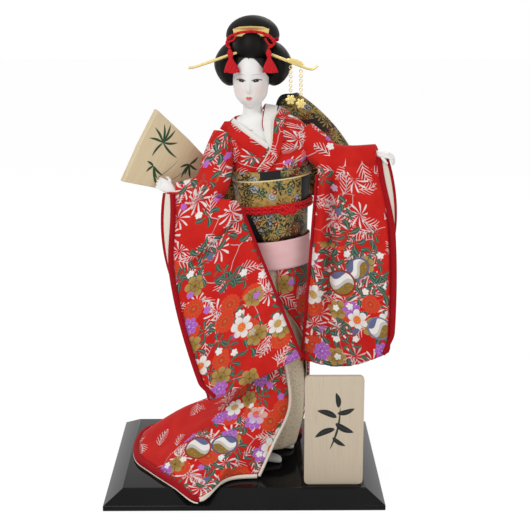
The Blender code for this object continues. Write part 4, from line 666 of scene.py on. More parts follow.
def painted_face(r, colour):
    """Blush, brows, eyes, lips and hairline, painted alike on both sides of the head's own middle plane."""
    x, y, z = r.split(r.local(r.place(), HEAD_CENTRE, (HEAD_NOD, 0.0, HEAD_TURN)))
    front = y.under(0.0, 0.001)
    side = abs(x)
    blush = oval(side - 0.0105, z + 0.0140, 0.0075, 0.0065).math("SQRT").under(1.0, 1.6) * front
    colour = r.mix(blush * 0.30, colour, (0.86, 0.52, 0.44))
    lid_shade = oval(side - 0.0076, z + 0.0012, 0.0056, 0.0022).math("SQRT").under(1.0, 1.2) * front
    colour = r.mix(lid_shade * 0.25, colour, (0.66, 0.55, 0.55))

    level = z - EYE_LEVEL
    out = side - EYE_OUT
    arch = level - 0.0026 + out * out * 42.0
    brow = abs(arch).under(0.00035, 0.0007) * side.over(0.0032, 0.002) * side.under(0.0118, 0.003)
    colour = r.mix(brow * front * 0.42, colour, (0.12, 0.10, 0.10))
    lid = level + 0.0027 + out * out * 48.0 - out * 0.05
    lower = level + 0.0056 - out * out * 38.0 - out * 0.07
    white = lid.under(0.0, 0.0003) * lower.over(0.0, 0.0003) * abs(out).under(0.0048, 0.0006)
    colour = r.mix(white * front * 0.6, colour, (0.70, 0.70, 0.72))
    iris = oval(out, level + 0.0042, 0.0029, 0.0024).math("SQRT").under(1.0, 0.15)
    colour = r.mix(iris * white * front, colour, (0.012, 0.008, 0.007))
    glint = oval(out + 0.0006, level + 0.0036, 0.0004, 0.0004).under(1.0, 0.8)
    colour = r.mix(glint * iris * white * front * 0.4, colour, (0.8, 0.8, 0.8))
    lash = abs(lid).under(0.00058, 0.0004) * out.under(0.0060, 0.001) * out.over(-0.0046, 0.001)
    colour = r.mix(lash * front * 0.9, colour, (0.020, 0.016, 0.015))
    under = abs(lower).under(0.00012, 0.0003) * abs(out).under(0.0040, 0.001)
    colour = r.mix(under * front * 0.35, colour, (0.25, 0.16, 0.14))

    lip = z - LIP_LEVEL
    bow_top = 0.0020 - abs(side - 0.0011) * 0.45
    upper = (lip - bow_top).under(0.0, 0.0004) * lip.over(0.0, 0.0004)
    full = oval(side, lip, 0.0033, 0.0024).under(1.0, 0.25) * lip.under(0.0, 0.0003)
    lips = (upper + full).math("MINIMUM", 1.0) * side.under(0.0032, 0.0008) * front
    colour = r.mix(lips * 0.92, colour, (0.76, 0.15, 0.06))
    peak = side.under(0.0008, 0.0018) * 0.0020
    hairline = (z + side * side * 62.0 + peak - 0.0212).over(0.0, 0.0010)
    colour = r.mix(hairline, colour, (0.008, 0.006, 0.005))
    parting = abs(lip - 0.0001 + side * 0.02).under(0.00016, 0.0003) * side.under(0.0033, 0.001)
    colour = r.mix(parting * front * 0.8, colour, (0.34, 0.03, 0.02))
    nostril = oval(side - 0.0011, z + 0.0158, 0.0006, 0.00035).under(1.0, 0.8)
    return r.mix(nostril * front * 0.35, colour, (0.45, 0.22, 0.18))


def doll_skin(name="doll_skin", face=False):
    """Shell-white finish, with the painted features where it is the face."""
    r = Recipe(name)
    tone = r.grain(r.place(), 120.0, 2.0)
    colour = r.mix(tone, (0.80, 0.79, 0.77), (0.85, 0.84, 0.82))
    if face:
        colour = painted_face(r, colour)
    return r.finish(colour, 0.42, bump=tone, strength=0.03, depth=0.0005, specular=0.35)


def plain_finish(name, low, high, rough, scale=300.0, metal=0.0):
    """Two close colours in a fine grain."""
    r = Recipe(name)
    grain = r.grain(r.place(), scale, 3.0)
    return r.finish(r.mix(grain, low, high), rough, metal=metal, bump=grain, strength=0.3, depth=0.0005)


FINISHES = {}


def finish_of(name):
    """A finish by its name, made once."""
    if name not in FINISHES:
        FINISHES[name] = {
            "printed_crepe": printed_crepe,
            "hem_crepe": lambda: plain_crepe("hem_crepe", (0.38, 0.004, 0.009), (0.26, 0.002, 0.006)),
            "cream_crepe": lambda: plain_crepe(
                "cream_crepe", (0.80, 0.71, 0.54), (0.58, 0.48, 0.33), 1500.0, 0.75),
            "lining_silk": lambda: plain_crepe("lining_silk", (0.80, 0.74, 0.64), (0.66, 0.58, 0.46)),
            "white_silk": lambda: plain_crepe("white_silk", (0.84, 0.82, 0.78), (0.72, 0.69, 0.63)),
            "pink_crepe": lambda: plain_crepe(
                "pink_crepe", tuple(dress_settings().sash_pink), (0.74, 0.42, 0.43)),
            "gold_brocade": gold_brocade,
            "scarf_brocade": lambda: gold_brocade(True),
            "dark_brocade": dark_brocade,
            "braided_cord": braided_cord,
            "tassel_silk": tassel_silk,
            "black_lacquer": black_lacquer,
            "gilt_metal": gilt_metal,
            "black_hair": black_hair,
            "face_skin": lambda: doll_skin("face_skin", True),
            "doll_skin": doll_skin,
            "sock_cloth": lambda: plain_finish(
                "sock_cloth", (0.74, 0.72, 0.70), (0.82, 0.81, 0.79), 0.8, 1500.0),
            "straw": lambda: plain_finish("straw", (0.42, 0.31, 0.15), (0.66, 0.52, 0.30), 0.9),
            "steel": lambda: plain_finish("steel", (0.40, 0.41, 0.43), (0.56, 0.57, 0.60), 0.35, 300.0, 1.0),
            "plate_wood": lambda: pale_wood("plate_wood", PLATE_SPRIG),
            "board_wood": lambda: pale_wood(
                "board_wood", BOARD_LEAVES, ((0.62, 0.50, 0.31), (0.74, 0.62, 0.41))),
        }[name]()
    return FINISHES[name]


# Brush strokes: start, turn, length and width. Leaves from one joint share a start and a width
INK, GREEN_INK = (0.010, 0.010, 0.011), (0.012, 0.055, 0.020)
PLATE_SPRIG = tuple(
    ((x, y), math.radians(turn), long, wide, INK) for x, y, turn, long, wide in (
        (0.0270, 0.0400, 78, 0.052, 0.0015), (0.0320, 0.0640, 205, 0.023, 0.0040),
        (0.0330, 0.0700, -28, 0.022, 0.0042), (0.0340, 0.0770, 160, 0.022, 0.0040),
        (0.0350, 0.0810, 18, 0.019, 0.0036), (0.0360, 0.0880, 100, 0.017, 0.0034),
        (0.0300, 0.0540, -35, 0.017, 0.0030),
    ))
BOARD_LEAVES = tuple(
    (start, math.radians(turn), long, wide, GREEN_INK) for start, wide, leaves in (
        ((0.0228, 0.0141), 0.0017, ((114, 0.0205), (69, 0.0200), (24, 0.0186), (-18, 0.0255), (-105, 0.0195),
                                    (-172, 0.0180), (148, 0.0201), (93, 0.0217))),
        ((0.0245, -0.0129), 0.0017, ((-44, 0.0151), (-49, 0.0271), (-118, 0.0106), (-17, 0.0165),
                                     (171, 0.0098))),
        ((0.0642, 0.0064), 0.0017, ((65, 0.0134), (-98, 0.0180), (-57, 0.0164), (-8, 0.0121), (-140, 0.0123),
                                    (-89, 0.0130))),
        ((0.0290, -0.0300), 0.0005, ((62, 0.048),)),
        ((0.0480, -0.0220), 0.0005, ((58, 0.030),)),
    ) for turn, long in leaves)


# Shaping helpers

def curve_through(points, t):
    """A smooth curve through points, with t from 0 to the last one's index."""
    last = len(points) - 1
    i = max(0, min(int(t), last - 1))
    f = t - i
    p1, p2 = Vector(points[i]), Vector(points[i + 1])
    p0 = Vector(points[i - 1]) if i > 0 else p1 * 2 - p2
    p3 = Vector(points[i + 2]) if i + 2 <= last else p2 * 2 - p1
    return 0.5 * (2 * p1 + (p2 - p0) * f + (2 * p0 - 5 * p1 + 4 * p2 - p3) * f * f
                  + (3 * p1 - p0 - 3 * p2 + p3) * f ** 3)


def eased(low, high, value):
    """0 below low, 1 above high and smooth between."""
    f = max(0.0, min(1.0, (value - low) / (high - low)))
    return f * f * (3 - 2 * f)


def bell(value, middle, width):
    """1 at the middle, falling away over a width."""
    return math.exp(-(((value - middle) / width) ** 2))


def section_at(stations, z):
    """Centre x, centre y, half width and half depth at a height."""
    heights = [s[0] for s in stations]
    i = 0
    while i < len(stations) - 2 and z > heights[i + 1]:
        i += 1
    t = max(0.0, min(i + (z - heights[i]) / (heights[i + 1] - heights[i]), len(stations) - 1.0))
    centre = curve_through([(s[1], s[2], 0.0) for s in stations], t)
    half = curve_through([(s[3], s[4], 0.0) for s in stations], t)
    return centre.x, centre.y, half.x, half.y


def tilted(x, y, z):
    """A trunk point with the hips' and waist's sideways slope."""
    weight = eased(0.150, 0.236, z) * (1.0 - 0.6 * eased(0.350, 0.385, z))
    return Vector((x, y, z + 0.10 * (x - 0.031) * weight))


def trunk_point(angle, z, grow, stations=TRUNK):
    """A point round the trunk, its angle counted from the front, and a distance out from its surface."""
    cx, cy, wide, deep = section_at(stations, z)
    return tilted(cx - (wide + grow) * math.sin(angle), cy - (deep + grow) * math.cos(angle), z)


def chest_point(x, z, grow):
    """A point on the front of the trunk."""
    cx, cy, wide, deep = section_at(TRUNK, min(z, TRUNK[-1][0]))
    ratio = max(-0.985, min(0.985, (x - cx) / (wide + grow)))
    return tilted(x, cy - (deep + grow) * math.sqrt(1 - ratio * ratio), z)


def finished(name, work, finish, replaces=(), body="doll"):
    """The mesh under work as a named piece that rides on its body."""
    mesh = bpy.data.meshes.new(name)
    for face in work.faces:
        face.smooth = True
    work.to_mesh(mesh)
    work.free()
    mesh.materials.append(finish_of(finish))
    piece = bpy.data.objects.new(name, mesh)
    bpy.context.scene.collection.objects.link(piece)
    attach(piece, body)
    if replaces:
        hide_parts(*replaces)
    return piece


def net(across, down, place, joined=False, fields=None, start=0.0):
    """A cloth of squares put where place(u, v) says, with its cloth map in metres and its number fields.

    The map counts across from the middle column, which stands at start, and down from the top edge.
    """
    work = bmesh.new()
    bmesh.ops.create_grid(work, x_segments=across, y_segments=down, size=0.5)
    cloth = work.loops.layers.uv.new("cloth")
    layers = {key: work.verts.layers.float.new(key) for key in fields or {}}
    spots, places = {}, {}
    for vertex in work.verts:
        u, v = vertex.co.x + 0.5, 0.5 - vertex.co.y
        i, j = round(u * across), round(v * down)
        spots[vertex] = (i, j)
        places[i, j] = vertex.co = Vector(place(i / across, j / down))
        for key, layer in layers.items():
            vertex[layer] = fields[key](i / across, j / down)
    wide, tall, middle = {}, {}, across // 2
    for j in range(down + 1):
        tall[j] = 0.0 if j == 0 else tall[j - 1] + (places[middle, j] - places[middle, j - 1]).length
        wide[middle, j] = start
        for i in range(middle + 1, across + 1):
            wide[i, j] = wide[i - 1, j] + (places[i, j] - places[i - 1, j]).length
        for i in range(middle - 1, -1, -1):
            wide[i, j] = wide[i + 1, j] - (places[i, j] - places[i + 1, j]).length
    for face in work.faces:
        for loop in face.loops:
            i, j = spots[loop.vert]
            loop[cloth].uv = (wide[i, j], tall[j])
    if joined:
        bmesh.ops.remove_doubles(work, verts=work.verts, dist=0.00002)
        bmesh.ops.recalc_face_normals(work, faces=work.faces)
    return work


def capped(work):
    """Closes a shape's open ends."""
    bmesh.ops.holes_fill(work, edges=[e for e in work.edges if e.is_boundary], sides=0)
    bmesh.ops.recalc_face_normals(work, faces=work.faces)
    return work


def softened(work, edges, offset, segments):
    """Rounds a shape's edges."""
    bmesh.ops.bevel(work, geom=edges, offset=offset, offset_type="OFFSET", affect="EDGES", segments=segments,
                    profile=0.5, material=-1)


def relaxed(piece):
    """Lays the piece's cloth map out again with the least stretch, in metres and the same way up."""
    layer = piece.data.uv_layers["cloth"].data
    wanted = [complex(*loop.uv) for loop in layer]
    bpy.context.view_layer.objects.active = piece
    piece.select_set(True)
    bpy.ops.object.mode_set(mode="EDIT")
    bpy.ops.mesh.select_all(action="SELECT")
    bpy.ops.uv.unwrap(method="MINIMUM_STRETCH", iterations=10)
    bpy.ops.object.mode_set(mode="OBJECT")
    piece.select_set(False)
    layer = piece.data.uv_layers["cloth"].data
    made = [complex(*loop.uv) for loop in layer]
    goal = sum(wanted) / len(wanted)
    best = None
    for turned in (made, [m.conjugate() for m in made]):
        middle = sum(turned) / len(turned)
        power = sum(abs(m - middle) ** 2 for m in turned)
        scale = sum((m - middle).conjugate() * (w - goal) for m, w in zip(turned, wanted)) / power
        miss = sum(abs((m - middle) * scale + goal - w) ** 2 for m, w in zip(turned, wanted))
        if best is None or miss < best[0]:
            best = miss, turned, middle, scale
    _, turned, middle, scale = best
    area = sum(face.area for face in piece.data.polygons)
    flat = 0.0
    for face in piece.data.polygons:
        spots = [turned[i] for i in face.loop_indices]
        flat += abs(sum((a.conjugate() * b).imag for a, b in zip(spots, spots[1:] + spots[:1]))) / 2
    scale *= math.sqrt(area / flat) / abs(scale)
    for loop, m in zip(layer, turned):
        spot = (m - middle) * scale + goal
        loop.uv = (spot.real, spot.imag)
    return piece


def thickened(piece, thickness, offset=0.0, levels=0):
    """Gives a cloth its thickness."""
    wall = piece.modifiers.new("wall", "SOLIDIFY")
    wall.thickness, wall.offset = thickness, offset
    if levels:
        finer = piece.modifiers.new("finer", "SUBSURF")
        finer.levels = finer.render_levels = levels


def rope(path, radius, sides, count, ends=True):
    """A round rope along points, its radius a number or a function of the share along it."""
    line = [curve_through(path, (len(path) - 1) * k / count) for k in range(count + 1)]
    sizes = [radius(k / count) if callable(radius) else radius for k in range(count + 1)]
    rings, side = [], None
    for k, point in enumerate(line):
        along = (line[min(k + 1, count)] - line[max(k - 1, 0)]).normalized()
        side = side or along.cross(Vector((0, 0, 1)) if abs(along.z) < 0.9 else Vector((0, 1, 0)))
        side = (side - along * side.dot(along)).normalized()
        rings.append((point, side, along.cross(side), sizes[k]))

    def place(u, v):
        point, out, up, size = rings[round(v * count)]
        turn = 2 * math.pi * u
        return point + (out * math.cos(turn) + up * math.sin(turn)) * size

    work = net(sides, count, place, True)
    return capped(work) if ends else work


def orb(place, across, up):
    """A closed round form: each direction goes where place says. Its cloth map is longitude and height."""
    work = bmesh.new()
    bmesh.ops.create_uvsphere(work, u_segments=across, v_segments=up, radius=1.0)
    cloth = work.loops.layers.uv.new("cloth")
    ways = {v: v.co.copy() for v in work.verts}
    for vertex, way in ways.items():
        vertex.co = Vector(place(way))
    for face in work.faces:
        middle = math.atan2(sum(ways[v].y for v in face.verts), sum(ways[v].x for v in face.verts))
        for loop in face.loops:
            way = ways[loop.vert]
            turn = math.atan2(way.y, way.x) if way.xy.length > 1e-4 else middle
            turn += 2 * math.pi * round((middle - turn) / (2 * math.pi))
            loop[cloth].uv = (turn * 0.02, math.asin(max(-1, min(1, way.z))) * 0.02)
    bmesh.ops.recalc_face_normals(work, faces=work.faces)
    return work


def piping(name, path, radius, sides, count, finish="lining_silk"):
    """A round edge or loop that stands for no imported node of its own."""
    return finished(name, rope(path, radius, sides, count), finish, ())


def joined_in(work, other):
    """Adds one mesh under work to another."""
    spare = bpy.data.meshes.new("spare")
    other.to_mesh(spare)
    other.free()
    work.from_mesh(spare)
    bpy.data.meshes.remove(spare)
    return work


def melted(work, voxel, passes):
    """The mesh under work as one smooth skin."""
    mesh = bpy.data.meshes.new("melting")
    work.to_mesh(mesh)
    work.free()
    holder = bpy.data.objects.new("melting", mesh)
    bpy.context.scene.collection.objects.link(holder)
    remesh = holder.modifiers.new("remesh", "REMESH")
    remesh.mode, remesh.voxel_size = "VOXEL", voxel
    bpy.context.view_layer.update()
    made = bpy.data.meshes.new_from_object(holder.evaluated_get(bpy.context.evaluated_depsgraph_get()))
    bpy.data.objects.remove(holder)
    smooth = bmesh.new()
    smooth.from_mesh(made)
    bpy.data.meshes.remove(made)
    for _ in range(passes):
        bmesh.ops.smooth_vert(smooth, verts=smooth.verts, factor=0.5, use_axis_x=True, use_axis_y=True,
                              use_axis_z=True)
    return smooth


def node_copy(name):
    """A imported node's mesh, merged, for shaping further."""
    work = bmesh.new()
    work.from_mesh(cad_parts[name].data)
    bmesh.ops.remove_doubles(work, verts=work.verts, dist=0.00001)
    bmesh.ops.recalc_face_normals(work, faces=work.faces)
    return work


def dress(name, finish):
    """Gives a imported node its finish."""
    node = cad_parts[name]
    node.data.materials.clear()
    node.data.materials.append(finish_of(finish))


# Dress

def skirt_columns():
    """Each column of the skirt's net, from the waist down to the hem."""
    columns = []
    for angle, *lower in SKIRT_NET:
        t = math.radians(angle)
        columns.append([trunk_point(t, SKIRT_TOP, SKIRT_TOP_OUT), trunk_point(t, HIP_HEIGHT, HIP_OUT)]
                       + [Vector(p) for p in lower])
    return columns


def skirt_place(columns, u, v):
    """A point of the skirt, from the front overlap round to the other edge and from the waist down."""
    down = v * (len(columns[0]) - 1)
    point = curve_through([curve_through(c, down) for c in columns], u * (len(columns) - 1))
    train = eased(0.35, 0.8, v) * (1.0 - eased(0.96, 1.0, v)) * eased(0.0, 0.1, u)
    ripple = 0.0022 * math.sin(u * 34.0 + v * 5.0) * (1 - eased(0.45, 0.6, u)) + 0.0018 * math.sin(u * 47.0)
    point.z += train * ripple
    point.x -= 0.0065 * eased(0.70, 0.80, u) * (1 - eased(0.86, 0.95, u)) * bell(v, 0.55, 0.22)
    point.x += 0.0060 * eased(0.90, 1.0, u) * bell(v, 0.30, 0.16)
    return point


def bag_point(side, u, v):
    """A point of the flat bag, from its inner to its outer edge and from its top down."""
    a, b, c, d, bulge, sag = BAGS[side]
    point = Vector(a).lerp(Vector(b), u).lerp(Vector(d).lerp(Vector(c), u), v)
    point += (Vector(b) - Vector(a)).normalized() * (bulge * math.sin(math.pi * v) * u * u)
    point.z -= sag * math.sin(math.pi * min(1.0, max(0.0, u))) * v
    return point


def bag_folds(side, u, v):
    """How far the bag's front stands forward of its flat place."""
    if side == "right":
        fold = 0.0046 * bell(u, 0.30 + 0.15 * v, 0.09) * eased(0.0, 0.3, v) * (1 - eased(0.6, 1.0, v))
        fold -= 0.0028 * bell(u, 0.05 + 0.42 * v, 0.06) * (1 - eased(0.25, 0.5, v))
        return fold + 0.0015 * math.sin(u * 9.0 + 1.0) * v
    fold = 0.0065 * bell(u, 0.10, 0.06) * (1 - eased(0.6, 1.0, v))
    fold -= 0.0090 * bell(u, 0.235, 0.045) * (1 - eased(0.70, 1.05, v))
    fold += 0.0055 * bell(u, 0.36, 0.07) * (1 - eased(0.3, 0.9, v))
    return fold + 0.0012 * math.sin(u * 13.0 + 2.0) * v


def sleeve_skin(side):
    """Arm and hanging bag melted into one soft skin."""
    stops = DRAPED_ARMS[side]
    points, radii = [p for p, _ in stops], [(r, 0, 0) for _, r in stops]
    work = rope(points, lambda f: curve_through(radii, (len(radii) - 1) * f).x, 28, 36)

    def pouch(s, v):
        turn = 2 * math.pi * s
        rim = math.sin(math.pi * min(1.0, max(0.0, v)) * 0.999 + 0.0005) ** 0.2
        forward = BAG_HALF_THICKNESS * rim * max(-1.0, min(1.0, 2.2 * math.sin(turn)))
        return bag_point(side, 0.5 - 0.5 * math.cos(turn), v) + Vector((0.0, forward, 0.0))

    bag = capped(net(96, 64, pouch, True))
    return melted(joined_in(work, bag), SLEEVE_VOXEL, 5)


def crowding(side, u, v, place):
    """How densely the sleeve is flowered: most at the foot, least along the top, the edge and the corner."""
    if side == "left":
        rise, edge = eased(0.22, 0.55, v), eased(0.80, 0.92, u)
        plain = (1 - eased(0.02, 0.12, v)) * eased(0.35, 0.55, u) * 0.8
    else:
        rise, edge = eased(0.10, 0.42, v), eased(0.86, 0.97, u)
        plain = eased(0.80, 0.92, v) * (1 - eased(0.10, 0.30, u)) * 1.2
    return max(-0.7, min(1.0, 0.12 + rise * 1.1 - edge * 0.5 - plain + 0.25 * noise.noise(place * 30.0)))


def sleeve(side):
    """The sleeve's skin with its folds, cloth map and fields."""
    work = sleeve_skin(side)
    a, b, c, d = (Vector(p) for p in BAGS[side][:4])
    across, down = (b - a).normalized(), ((d - a) + (c - b)).normalized()
    outward = across.cross(down).normalized()
    if outward.y > 0:
        outward = -outward
    wide, tall = (b - a).length, ((d - a).length + (c - b).length) / 2
    cloth = work.loops.layers.uv.new("cloth")
    bloom, hem = work.verts.layers.float.new("bloom"), work.verts.layers.float.new("hem")
    flats = {}
    for vertex in work.verts:
        p = vertex.co.copy()
        v = max(0.0, min(1.0, (p - a).dot(down) / tall))
        inner_edge, outer_edge = bag_point(side, 0.0, v), bag_point(side, 1.0, v)
        u = (p - inner_edge).dot(across) / max(1e-6, (outer_edge - inner_edge).dot(across))
        flats[vertex] = (ROLL[f"sleeve_{side}"] + (p - a).dot(across), (p - a).dot(down))
        across_share = eased(-0.02, 0.08, u) * (1 - eased(0.92, 1.0, u))
        down_share = eased(0.0, 0.12, v) * (1 - eased(0.97, 1.0, v))
        forward = bag_folds(side, u, v) * across_share * down_share
        if side == "right":
            lip = 0.085 + (u - 0.06) * 0.27
            width = eased(0.0, 0.08, u) * (1 - eased(0.50, 0.80, u))
            forward += 0.0066 * (1 - eased(lip - 0.012, lip + 0.002, v)) * width
        vertex.co = p + outward * forward
        vertex[bloom] = crowding(side, u, v, vertex.co)
        vertex[hem] = eased(0.925, 0.935, u) * eased(-0.02, 0.0, flats[vertex][1] / tall)
    for face in work.faces:
        for loop in face.loops:
            loop[cloth].uv = flats[loop.vert]
    piece = finished(f"sleeve_cloth_{side}", work, "printed_crepe", (f"sleeve_{side}",))


def slit(v):
    """Where the front edge of the sleeve's opening runs, as a share of the bag's width."""
    return 0.905 + 0.095 * eased(0.02, 0.40, v)


def sleeve_edges(side):
    """Padded red edges down the sleeve's outer side, the lining between them and an inner piping."""
    way = 1.0 if side == "left" else -1.0
    downs = [0.012 + 0.976 * k / 36 for k in range(37)]
    front = [bag_point(side, slit(v) - 0.09 * eased(0.90, 1.0, v), v) + Vector((0.0, -0.0036, 0.0))
             for v in downs]
    piping(f"sleeve_edge_{side}_front", front, lambda f: 0.0030 - 0.0008 * eased(0.85, 1.0, f), 14, 90,
           "hem_crepe")

    def outer(v):
        swell = math.sin(math.pi * min(1.0, v / 0.42)) ** 0.7 if v < 0.42 else 0.0
        return bag_point(side, 1.0, v) + Vector((way * 0.0052 * swell, 0.0010, 0.0))

    back = [outer(0.015 + 0.405 * k / 20) for k in range(21)]
    piping(f"sleeve_edge_{side}_back", back, 0.0020, 12, 60, "hem_crepe")

    def place(u, v):
        down = 0.016 + 0.384 * v
        a = bag_point(side, slit(down), down) + Vector((0.0, -0.0034, 0.0))
        return a.lerp(outer(down), u) + Vector((0.0, -0.0008 * math.sin(math.pi * u), 0.0))

    node = f"sleeve_lining_{side}"
    lining = finished(f"{node}_cloth", net(8, 36, place), "lining_silk", (node,))
    thickened(lining, 0.0010)
    path = [bag_point(side, 0.0, 0.06 + 0.94 * k / 20) + Vector((0.0, -0.0026, 0.0)) for k in range(21)]
    piping(f"sleeve_edge_{side}_inner", path, 0.0017, 10, 50, "hem_crepe")


def skirt():
    """The skirt with its train, its lining, its padded hem and its edges."""
    columns = skirt_columns()

    def bloom(u, v):
        front = (1 - eased(0.28, 0.34, u)) * eased(0.40, 0.62, v)
        back = eased(0.50, 0.60, u) * bell(v, 0.88, 0.12)
        high = (1 - eased(0.20, 0.34, v)) * 0.75
        plain = eased(0.28, 0.34, u) * (1 - eased(0.50, 0.60, u)) * eased(0.35, 0.50, v)
        return max(-0.6, min(1.0, max(front, back, high) * 1.1 + 0.05 - plain * 0.60))

    def hem(u, v):
        return eased(0.985, 0.990, v)

    work = net(112, 64, lambda u, v: skirt_place(columns, u, v * 0.994), fields={"bloom": bloom, "hem": hem})
    piece = relaxed(finished("skirt_cloth", work, "printed_crepe", ("kimono_skirt",)))
    thickened(piece, dress_settings().cloth_wall)

    def inner(u, v):
        point = skirt_place(columns, u, v)
        side = skirt_place(columns, min(1.0, u + 0.01), v) - skirt_place(columns, max(0.0, u - 0.01), v)
        fall = skirt_place(columns, u, min(1.0, v + 0.01)) - skirt_place(columns, u, max(0.0, v - 0.01))
        out = side.cross(fall).normalized()
        return point, out

    point, out = inner(0.3, 0.3)
    sign = 1.0 if out.dot(Vector((0.032, 0.012, point.z)) - point) > 0 else -1.0

    def lined(u, v):
        point, out = inner(u, v * 0.985)
        return point + out * (sign * 0.0019)

    lining = finished("skirt_lining_cloth", net(96, 60, lined), "lining_silk", ("skirt_lining",))
    thickened(lining, 0.0008)
    path = [skirt_place(columns, k / 96, 1.0) for k in range(97)]
    work = rope(path[18:], lambda f: 0.0018 + 0.0020 * eased(0.0, 0.06, f), 14, 220)
    finished("skirt_hem", work, "hem_crepe", ("skirt_hem_roll",))
    piping("skirt_hem_lining", path[:19], 0.0024, 12, 60)
    under = [p + Vector((p.x - 0.02, p.y - 0.02, 0.0)).normalized() * 0.0030 - Vector((0, 0, 0.0026))
             for p in path[18:]]
    piping("skirt_hem_piping", under, 0.0008, 8, 220)
    edge = [skirt_place(columns, 0.0, 0.10 + 0.90 * k / 30) + Vector((0.0022, -0.0004, 0.0))
            for k in range(31)]
    piping("skirt_edge", edge, 0.0017, 10, 90)


def under_skirt():
    """The cream under-skirt, with shallow gathers and a fuller front."""
    bottom, top = UNDER_SKIRT[0][0], UNDER_SKIRT[-1][0]

    def place(u, v):
        z = top + (bottom - top) * v
        ripple = 0.0007 * math.sin(14 * math.pi * u + 2.0 * v) * eased(0.1, 0.6, v)
        ripple += 0.0012 * bell(u, 0.93, 0.02)
        ripple += 0.0085 * (bell(u, 1.0, 0.05) + bell(u, 0.0, 0.05)) * bell(z, 0.180, 0.045)
        return trunk_point(2 * math.pi * u, z, ripple, UNDER_SKIRT)

    work = net(120, 60, place, True)
    piece = finished("under_skirt_cloth", work, "cream_crepe", ("under_skirt",))
    thickened(piece, dress_settings().cloth_wall, -1.0)


def bodice():
    """The upper kimono, open in a V at the chest."""
    (rx, rz), (bx, bz), (lx, lz) = NECK_TOP_RIGHT, NECK_BOTTOM, NECK_TOP_LEFT
    grow = 0.0019

    def ends(z):
        if z > bz:
            f, g = (rz - z) / (rz - bz), (lz - z) / (lz - bz)
            return rx + (bx - rx) * f, lx + (bx - lx) * g
        x = bx + (FOLD_END[0] - bx) * min(1.0, (bz - z) / (bz - FOLD_END[1]))
        return x, x

    def place(u, v):
        z = BODICE_TOP + (BODICE_BOTTOM - BODICE_TOP) * v
        cx, _, wide, _ = section_at(TRUNK, z)
        start, end = (math.asin(max(-0.98, min(0.98, (cx - x) / (wide + grow)))) for x in ends(z))
        crease = 0.0006 * math.sin(70 * u + 26 * v) + 0.0009 * math.sin(31 * u - 40 * v)
        return trunk_point(start + (2 * math.pi + end - start) * u, z, grow + crease * eased(0.0, 0.2, v)
                           + 0.0006 * (1 - u))

    work = net(160, 90, place, fields={"bloom": lambda u, v: 0.22 + 0.25 * v, "hem": lambda u, v: 0.0},
               start=ROLL["bodice"])
    piece = finished("bodice_cloth", work, "printed_crepe", ("kimono_bodice",))
    thickened(piece, dress_settings().bodice_wall)


def neck_band(name, near, far, thickness, finish, node, bloom=0.0):
    """A band of cloth between two edges that run from the nape down the chest."""
    last = len(near) - 1

    def place(u, v):
        point = curve_through(near, last * v).lerp(curve_through(far, last * v), u)
        return point + Vector((0.0, -0.0009 * math.sin(math.pi * u), 0.0))

    work = net(10, 72, place, fields={"bloom": lambda u, v: bloom, "hem": lambda u, v: 0.0},
               start=ROLL.get(node, 0.0))
    thickened(finished(name, work, finish, (node,)), thickness, 0.0, 1)


def neckline():
    """Both collars with their piping, and the white collars under them."""
    (rx, rz), (bx, bz), (lx, lz) = NECK_TOP_RIGHT, NECK_BOTTOM, NECK_TOP_LEFT
    right = [(rx + (bx - rx) * f, rz + (bz - rz) * f) for f in (0.12, 0.3, 0.5, 0.7, 0.93)]
    left = [(lx + (bx - lx) * f, lz + (bz - lz) * f) for f in (0.1, 0.45, 0.85)]
    left += [(bx + (FOLD_END[0] - bx) * f, bz + (FOLD_END[1] - bz) * f) for f in (0.4, 1.0)]
    for side, edge, across, out, bloom in (
            ("right", right, (-0.57, -0.82), 0.0042, -0.72), ("left", left, (0.95, -0.22), 0.0047, 0.30)):
        near = [Vector(a) for a, _ in NAPES[side]] + [chest_point(x, z, out) for x, z in edge]
        far = [Vector(b) for _, b in NAPES[side]]
        far += [chest_point(x + across[0] * COLLAR_WIDE, z + across[1] * COLLAR_WIDE, out) for x, z in edge]
        neck_band(f"collar_cloth_{side}", near, far, 0.0014, "printed_crepe", f"collar_{side}",
                  bloom)
        if side == "left":
            piping("collar_piping", [p + Vector((0.0, -0.0009, 0.0)) for p in near[1:]], 0.0006, 8, 80)
    near = [Vector(p) for p in ((0.0200, 0.0300, 0.4080), (0.0235, 0.0170, 0.4150), (0.0225, 0.0020, 0.4130))]
    spots = ((0.0200, 0.3990), (0.0212, 0.3900), (0.0238, 0.3805), (0.0280, 0.3710))
    near += [chest_point(x, z, 0.0016) for x, z in spots]
    far = [Vector(p) for p in ((0.0320, 0.0320, 0.4040), (0.0365, 0.0170, 0.4130), (0.0360, 0.0020, 0.4110))]
    spots = ((0.0345, 0.3990), (0.0335, 0.3900), (0.0320, 0.3805), (0.0298, 0.3710))
    far += [chest_point(x, z, 0.0032) for x, z in spots]
    neck_band("under_collar_cloth_left", near, far, 0.0010, "white_silk", "under_collar_left")
    edge = [p + Vector((0.0, -0.0005, 0.0)) for p in near[:5]]
    piping("under_collar_edge", edge, 0.0005, 8, 60, "hem_crepe")
    inner = [(rx + (bx - rx) * f, rz + (bz - rz) * f) for f in (0.10, 0.32, 0.54, 0.74, 0.93)]
    near = [chest_point(x + 0.0030, z + 0.0043, 0.0014) for x, z in inner]
    far = [chest_point(x - 0.0030, z - 0.0043, 0.0014) for x, z in inner]
    neck_band("under_collar_cloth_right", near, far, 0.0010, "white_silk", "under_collar_right")


